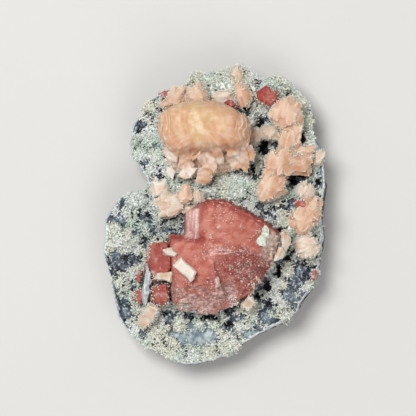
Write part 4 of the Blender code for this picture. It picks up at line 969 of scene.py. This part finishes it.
# ---------------------------------------------------------------- the stilbite ball
# A dome of stilbite blades so close together that it is smooth and waxy, parted into lobes by shallow
# folds. Broad blades of peach, rosy and white stilbite stick out from under it along its lower edge and its
# left side.
BALL_OUTLINE = np.array([
    (-19.8, 32), (-19.2, 35.8), (-15, 38), (-9.4, 39.4), (-3.3, 39.8), (2.3, 39.4), (7.9, 37.4),
    (12, 35.2), (13.8, 31), (13.2, 27.5), (11.8, 24.6), (8.6, 22.6), (2.8, 22), (-0.7, 21.6),
    (-4.1, 21.6), (-6.8, 21.4), (-9.8, 21), (-12.6, 20.6), (-16, 22.4), (-18.6, 25.6), (-19.8, 29),
])
BALL_MIDDLE = np.array([-3.4, 31])
BALL_POWER = 0.5
BALL_LEVELS = (17, 28.5, 39.6)     # the heights of its foot, of its widest part and of its top
FOLDS = [                  # where its lobes part, as a line in plan, and how deep
    ([(-9.6, 35), (-9.2, 32), (-8.7, 29.7), (-8, 26.7), (-6.5, 22.1)], 0.60),
    ([(-0.6, 31), (-0.2, 29.1), (1.4, 27.1), (4.4, 24.5), (5.4, 22.4)], 0.70),
    ([(-16.7, 33), (-15.6, 30.1), (-13.1, 23.3)], 0.55),
    ([(9.2, 36.9), (9.6, 33.5), (8.5, 28.5), (8.1, 22.9)], 0.40),
]
# The blades under it: the corners of their upper faces, going round anticlockwise, and their thickness.
SKIRT = [
    ([(-18.3, 22.4, 27.1), (-16.5, 18.9, 26.4), (-14.7, 18.5, 27.7), (-12.9, 18.3, 29.1),
      (-11.7, 21.9, 34.5), (-14.5, 25.4, 34.5), (-17.4, 24.4, 30.4)], 2.2),
    ([(-12.9, 16.6, 26.9), (-10.1, 15.1, 25.6), (-6.1, 17.1, 26.9), (-7.9, 19.4, 30.9), (-4.8, 22, 33.6),
      (-7.6, 24, 34.3), (-11.9, 21.6, 30.9)], 3),
    ([(-7.8, 19.9, 33.1), (-7.3, 18, 32.3), (-4.6, 19.7, 35), (-3.5, 22, 36.4)], 1.6),
    ([(-13.7, 13.9, 23.5), (-10.9, 12.5, 23.5), (-8.6, 12.4, 25.6), (-5.3, 16.4, 28.9),
      (-8.9, 16.9, 27.6)], 2.4),
    ([(-17.5, 17, 21.5), (-17.4, 14.1, 20.1), (-15.2, 12.4, 21.5), (-13.9, 15.1, 23.5),
      (-15.2, 17.5, 24.2)], 3),
    ([(-7, 11.4, 23.5), (-4.3, 10.2, 22.2), (-1.5, 11.2, 22.9), (-0.7, 13, 24.2), (0.6, 15.7, 26.2),
      (-0.1, 17, 27.6), (-5.4, 16.4, 27.6)], 4),
    ([(-0.4, 23.6, 36.4), (0, 20.1, 32.3), (1.5, 17.4, 28.9), (4, 17.3, 28.2), (4.3, 20.5, 32.3),
      (1.7, 25.4, 39)], 2),
    ([(4.6, 20.1, 30.3), (7.2, 20, 28.9), (9.3, 20.7, 28.9), (9.8, 23.6, 32.3), (7.9, 25, 35),
      (4.2, 23.5, 33)], 1.6),
    ([(9.4, 23.2, 30.6), (12.6, 23.4, 29.3), (13.6, 27, 30.3), (12, 29.5, 34.4), (8.4, 27.6, 35.4)], 2.6),
    ([(3.7, 20.6, 28.2), (4.2, 18.8, 26.2), (6.4, 16.5, 24.6), (8.9, 15.4, 23), (9.6, 19, 26),
      (8.6, 24, 30)], 3.5),
    ([(7.6, 21.4, 27.6), (9.2, 16.6, 24.4), (11.5, 14.4, 22.4), (12.8, 16.7, 23.2), (12.4, 21.6, 27),
      (10.5, 25.4, 30.6)], 3),
    ([(10.4, 23.4, 27.4), (12, 19.2, 24.4), (14.3, 18.4, 23.2), (15, 21.4, 24.4), (13.8, 25.1, 27.8)], 2.6),
    ([(-12.2, 20.8, 28.6), (-11.6, 17.2, 26.6), (-9.6, 15.8, 25.6), (-8.4, 19, 28),
      (-9.4, 22.4, 31.4)], 1.8),
    ([(-2.2, 21.2, 30.4), (-1.8, 16.4, 27.4), (0.4, 14.6, 25.8), (1.6, 17.4, 27.2), (0.4, 21.8, 31.2)], 2),
    ([(-5.5, 21.8, 29.6), (-5.8, 19.3, 28.2), (-4.2, 16.5, 26.9), (-1.1, 16.2, 26.9), (-0.4, 20.7, 30.3),
      (-2.4, 23.4, 32.3)], 3),
]
SKIRT_TAPER = 0.8          # the size of a blade's underside, against its upper face
BALL_MESH = 0.30           # between the corners of the ball's mesh


def skirt_blade(corners_of_face, thickness):
    """A slab whose upper face has these corners, and whose underside is a smaller copy, one thickness
    lower."""
    upper = np.array(corners_of_face, float)
    middle = upper.mean(axis=0)
    return slabs(upper[None], (middle + (upper - middle) * SKIRT_TAPER - (0, 0, thickness))[None])


# A low heap of small blades fills the room between and behind the broad ones.
BED = [
    (-19, 23), (-17, 17), (-12, 14.5), (-6, 13.5), (0, 14.5), (6, 17), (12, 18.5), (13, 23), (8, 28),
    (-8, 28),
]
parts = [dome(BALL_OUTLINE, BALL_MIDDLE, BALL_LEVELS, BALL_POWER, 150, 80)]
parts += heap(BED, 18, 23.5, 80, 4.5, random) + [skirt_blade(*one) for one in SKIRT]
mesh = grown_together("stilbite_ball", parts, BALL_MESH, 1)
points, facing = corners(mesh), corners(mesh, "normal")
on_dome = step(points[:, 2] - 0.35 * (22 - points[:, 1]), 29, 31.5)
# Ridges fan out downwards over the dome from far above it, and outwards from its middle along the blades
# under it.
turn = np.arctan2(points[:, 0] + 3, 60 - points[:, 1])
down = np.column_stack([30 * turn, 0.22 * points[:, 1], 0.3 * points[:, 2]])
relief = 0.22 * np.abs(noise(down, 2.6, 147)) + 0.08 * noise(down, 1, 141) + 0.45 * noise(points, 5, 140)
turn = np.arctan2(points[:, 1] - BALL_MIDDLE[1], points[:, 0] - BALL_MIDDLE[0])
outward = np.column_stack([14 * turn, 0.3 * points[:, 1], 0.5 * points[:, 2]])
fold = np.zeros(len(points))
for line, depth in FOLDS:
    valley = depth * np.exp(-(to_line(points + noise(points, 2.5, 143)[:, None] * 0.5, line)[0] / 1.5) ** 2)
    fold = np.maximum(fold, valley)
# Thin layers show at its two ends only.
sideways = np.abs(points[:, 0] + 3.2)
petals = step(sideways + 1.5 * noise(points, 3, 139), 11, 13.5)
layers = (0.6 * sideways + 0.9 * noise(points, 3.5, 138)) % 1
lower = step(-points[:, 1] + 1.5 * noise(points, 3, 133), -27, -23.5) * (1 - petals)
relief = on_dome * (relief - fold - 0.50 * petals * layers + 0.12 * noise(points, 1.6, 137)
                    + 0.50 * lower * np.abs(noise(outward, 1.8, 148)))
relief += (1 - on_dome) * (0.45 * np.abs(noise(outward, 1.5, 148)) + 0.20 * noise(points, 1.1, 149))
set_corners(mesh, points + facing * (relief - 0.25)[:, None])
WHITE_BLADES = [
    (-15, 21.5, 3.2, 3.6, 0.9), (-9.5, 14.6, 4, 2, 1), (-15.8, 15, 2.4, 2.6, 0.9),
    (11.5, 24, 2.4, 1.4, 0.8), (2, 19, 2, 2.2, 0.6), (8.5, 20.8, 2, 1, 0.8), (-2.6, 19.5, 2, 2, 0.5),
    (-17.5, 28, 1.8, 4, 0.5),
]
whiteness = spots(points, WHITE_BLADES) * (1 - on_dome)
fibres = 0.35 * noise(outward, 0.8, 136) + 0.3 * noise(points, 2.2, 144)
# The skirt, the petals at the ends and the lower edge are painted paler: partly their pinker-white blades,
# partly painted light that offsets the shade they lie in.
rim = np.maximum(1 - on_dome, np.maximum(petals, 0.7 * lower))
# The dome's top is painted lighter and creamier towards its middle: painted light, broken by cream patches
# and streaks.
from_middle = np.hypot((points[:, 0] + 6) / 15, (points[:, 1] - 31.5) / 9.5)
streaks = 0.30 * noise(points * (1, 0.4, 0.4), 2.6, 145) + 0.15 * noise(points, 1.5, 146)
cream = 0.75 + 0.25 * step(noise(points, 3, 135) + 0.5 * noise(points, 1.2, 134), -0.3, 0.4)
# The folds and the creases between lobes and blades carry painted shade in a deeper orange.
set_values(mesh, tint=np.clip(whiteness + 0.25 * rim + fibres, 0, 1),
           edge=(0.6 - 0.4 * on_dome) * step(sharpness(mesh, 4), 0.03, 0.14),
           sunny=on_dome * cream * (1 - step(from_middle + streaks, 0.25, 1.15)),
           fold=np.clip(0.7 * fold * on_dome + 0.35 * step(-sharpness(mesh, 12), 0.10, 0.45), 0, 0.7))
mesh.shade_smooth()
honey = stilbite("honey_peach_stilbite", "#CFA17E", "#EEDFD3", "#EEDDD0", 1.8, "#CCA97D")
placed("ball_of_blades", mesh, honey, "peach_stilbite", "stilbite_ball")

# ---------------------------------------------------------------- loose blades
# Single stilbite blades: the pearly white one, the oval and the small one that lie on the large crystal,
# two at its foot, the peach one across the right-hand ridge and the broken tip at its right-hand corner.
LOOSE = {
    "stilbite_blade_white": pale, "stilbite_oval": pale, "stilbite_blade_left": pale,
    "stilbite_blade_lower_left": pale, "stilbite_tip_right": pale, "stilbite_blade_lower_right": pale,
    "stilbite_blade_right": peach,
}
FINE_SPACING = 0.25        # between the corners of a small piece's mesh
SETTLED_INTO = 0.3         # how far the loose blades and grains reach into the crystal they lie on


def settled(points):
    """The points lowered together until the piece they bound reaches a little way into the large
    crystal."""
    under, met = fallen(points, large)
    return points - (0, 0, (points - under)[met, 2].min() + SETTLED_INTO)


for seed, (node, material) in enumerate(LOOSE.items()):
    blade = even_copy(node, FINE_SPACING)
    points, facing = corners(blade), corners(blade, "normal")
    whiteness = 0.8 if node == "stilbite_blade_white" else 0
    set_values(blade, tint=np.maximum(whiteness, step(noise(points, 2, 160 + seed), -0.6, 0.6)),
               edge=np.clip(0.6 * whiteness + step(sharpness(blade), 0.02, 0.12), 0, 1))
    relief = 0.35 * np.floor(3 * noise(points, 2.2, 170 + seed)) / 3
    relief = relief + 0.12 * noise(points, 0.8, 180 + seed) - 0.1
    moved = smoothed(blade, points + facing * relief[:, None], 1)
    set_corners(blade, settled(moved) if node in ("stilbite_oval", "stilbite_blade_left") else moved)
    blade.shade_smooth()
    placed(node.replace("stilbite", "loose"), blade, material, SLOTS[material], node)

# ---------------------------------------------------------------- chalcedony bar and grains
# A waxy grey bar of chalcedony at the lower left, and the pale grains that grew on the large crystal's
# face: a tuft near its right-hand corner and four flakes.

# Chalcedony: smooth, waxy and a little translucent, with milky patches.
waxy, tree, shader = finish("grey_chalcedony", Roughness=0.34, IOR=1.54, Subsurface_Weight=0.2,
                            Subsurface_Radius=(1, 1, 1), Subsurface_Scale=0.0008)
tree.links.new(patched(tree, 1.2, (0.4, 0.62), "#9FA8AE", "#D3D8D8"), shader.inputs["Base Color"])
bar = even_copy("chalcedony_rod", FINE_SPACING)
points, facing = corners(bar), corners(bar, "normal")
relief = 0.35 * noise(points, 1.6, 190) + 0.15 * noise(points, 0.7, 191) - 0.5
set_corners(bar, points + facing * relief[:, None])
bar.shade_smooth()
placed("chalcedony_bar", bar, waxy, "chalcedony", "chalcedony_rod")


def grainy(name, dark, light):
    """Translucent waxy grains, mottled between two colours."""
    made, tree, shader = finish(name, Roughness=0.4, IOR=1.5, Subsurface_Weight=0.2,
                                Subsurface_Radius=(1, 1, 0.9), Subsurface_Scale=0.0006)
    tree.links.new(patched(tree, 0.8, (0.4, 0.62), dark, light), shader.inputs["Base Color"])
    return made


greenish = grainy("pale_green_grains", "#B9C3B0", "#E4E8DC")
pinkish = grainy("pale_pink_grains", "#C39A90", "#DCC6BC")
GRAINS = {
    "tuft_on_face": greenish, "flake_on_face_upper": pinkish, "flake_on_face_lower": pinkish,
    "flake_on_face_left": pinkish, "flake_on_face_bottom": pinkish,
}
for seed, (node, material) in enumerate(GRAINS.items()):
    grain = even_copy(node, 0.2)
    points, facing = corners(grain), corners(grain, "normal")
    relief = 0.30 * noise(points, 0.9, 200 + seed) + 0.15 * noise(points, 0.45, 210 + seed) - 0.15
    set_corners(grain, settled(points + facing * relief[:, None]))
    placed(node.replace("on_face", "of_grains"), grain, material, "pale_grains", node)

# ---------------------------------------------------------------- crust on the crystals
# Drusy zeolite that has crept up the flanks of the clusters, of the small red blocks and of the blades,
# and softens their outlines. It is made of blunt double points.
CREPT_SHARE = 0.10         # the share of the mesh's corners on a low flank that carry a crystal
CREPT_TOP = 26             # the height up to which it has crept
random, crept = np.random.default_rng(62), []
for piece in bpy.data.objects:
    if piece.name.startswith(("blades_of", "ball_of", "red_block", "loose")):
        points, facing = corners(piece.data), corners(piece.data, "normal")
        flank = step(-facing[:, 2], -0.85, -0.35) * (facing[:, 2] > 0) * (points[:, 2] < CREPT_TOP)
        share = CREPT_SHARE * step(flank + 0.5 * noise(points, 2.6, 114), 0.3, 0.8)
        taken = random.uniform(0, 1, len(points)) < share * (flank > 0)
        crept.append(np.hstack([points[taken], facing[taken]]))
places, facing = np.split(np.vstack(crept), 2, axis=1)
size = random.uniform(0.4, 1, len(places))
mesh = strewn("crust_on_crystals", DOUBLE_POINT, places - 0.1 * facing,
              facing + (0, 0, 0.3) + random.normal(0, 0.4, places.shape), 0.30 * size, 0.9 * size,
              crust_tints(places, random), random)
placed("crust_on_crystals", mesh, druse, "rock")
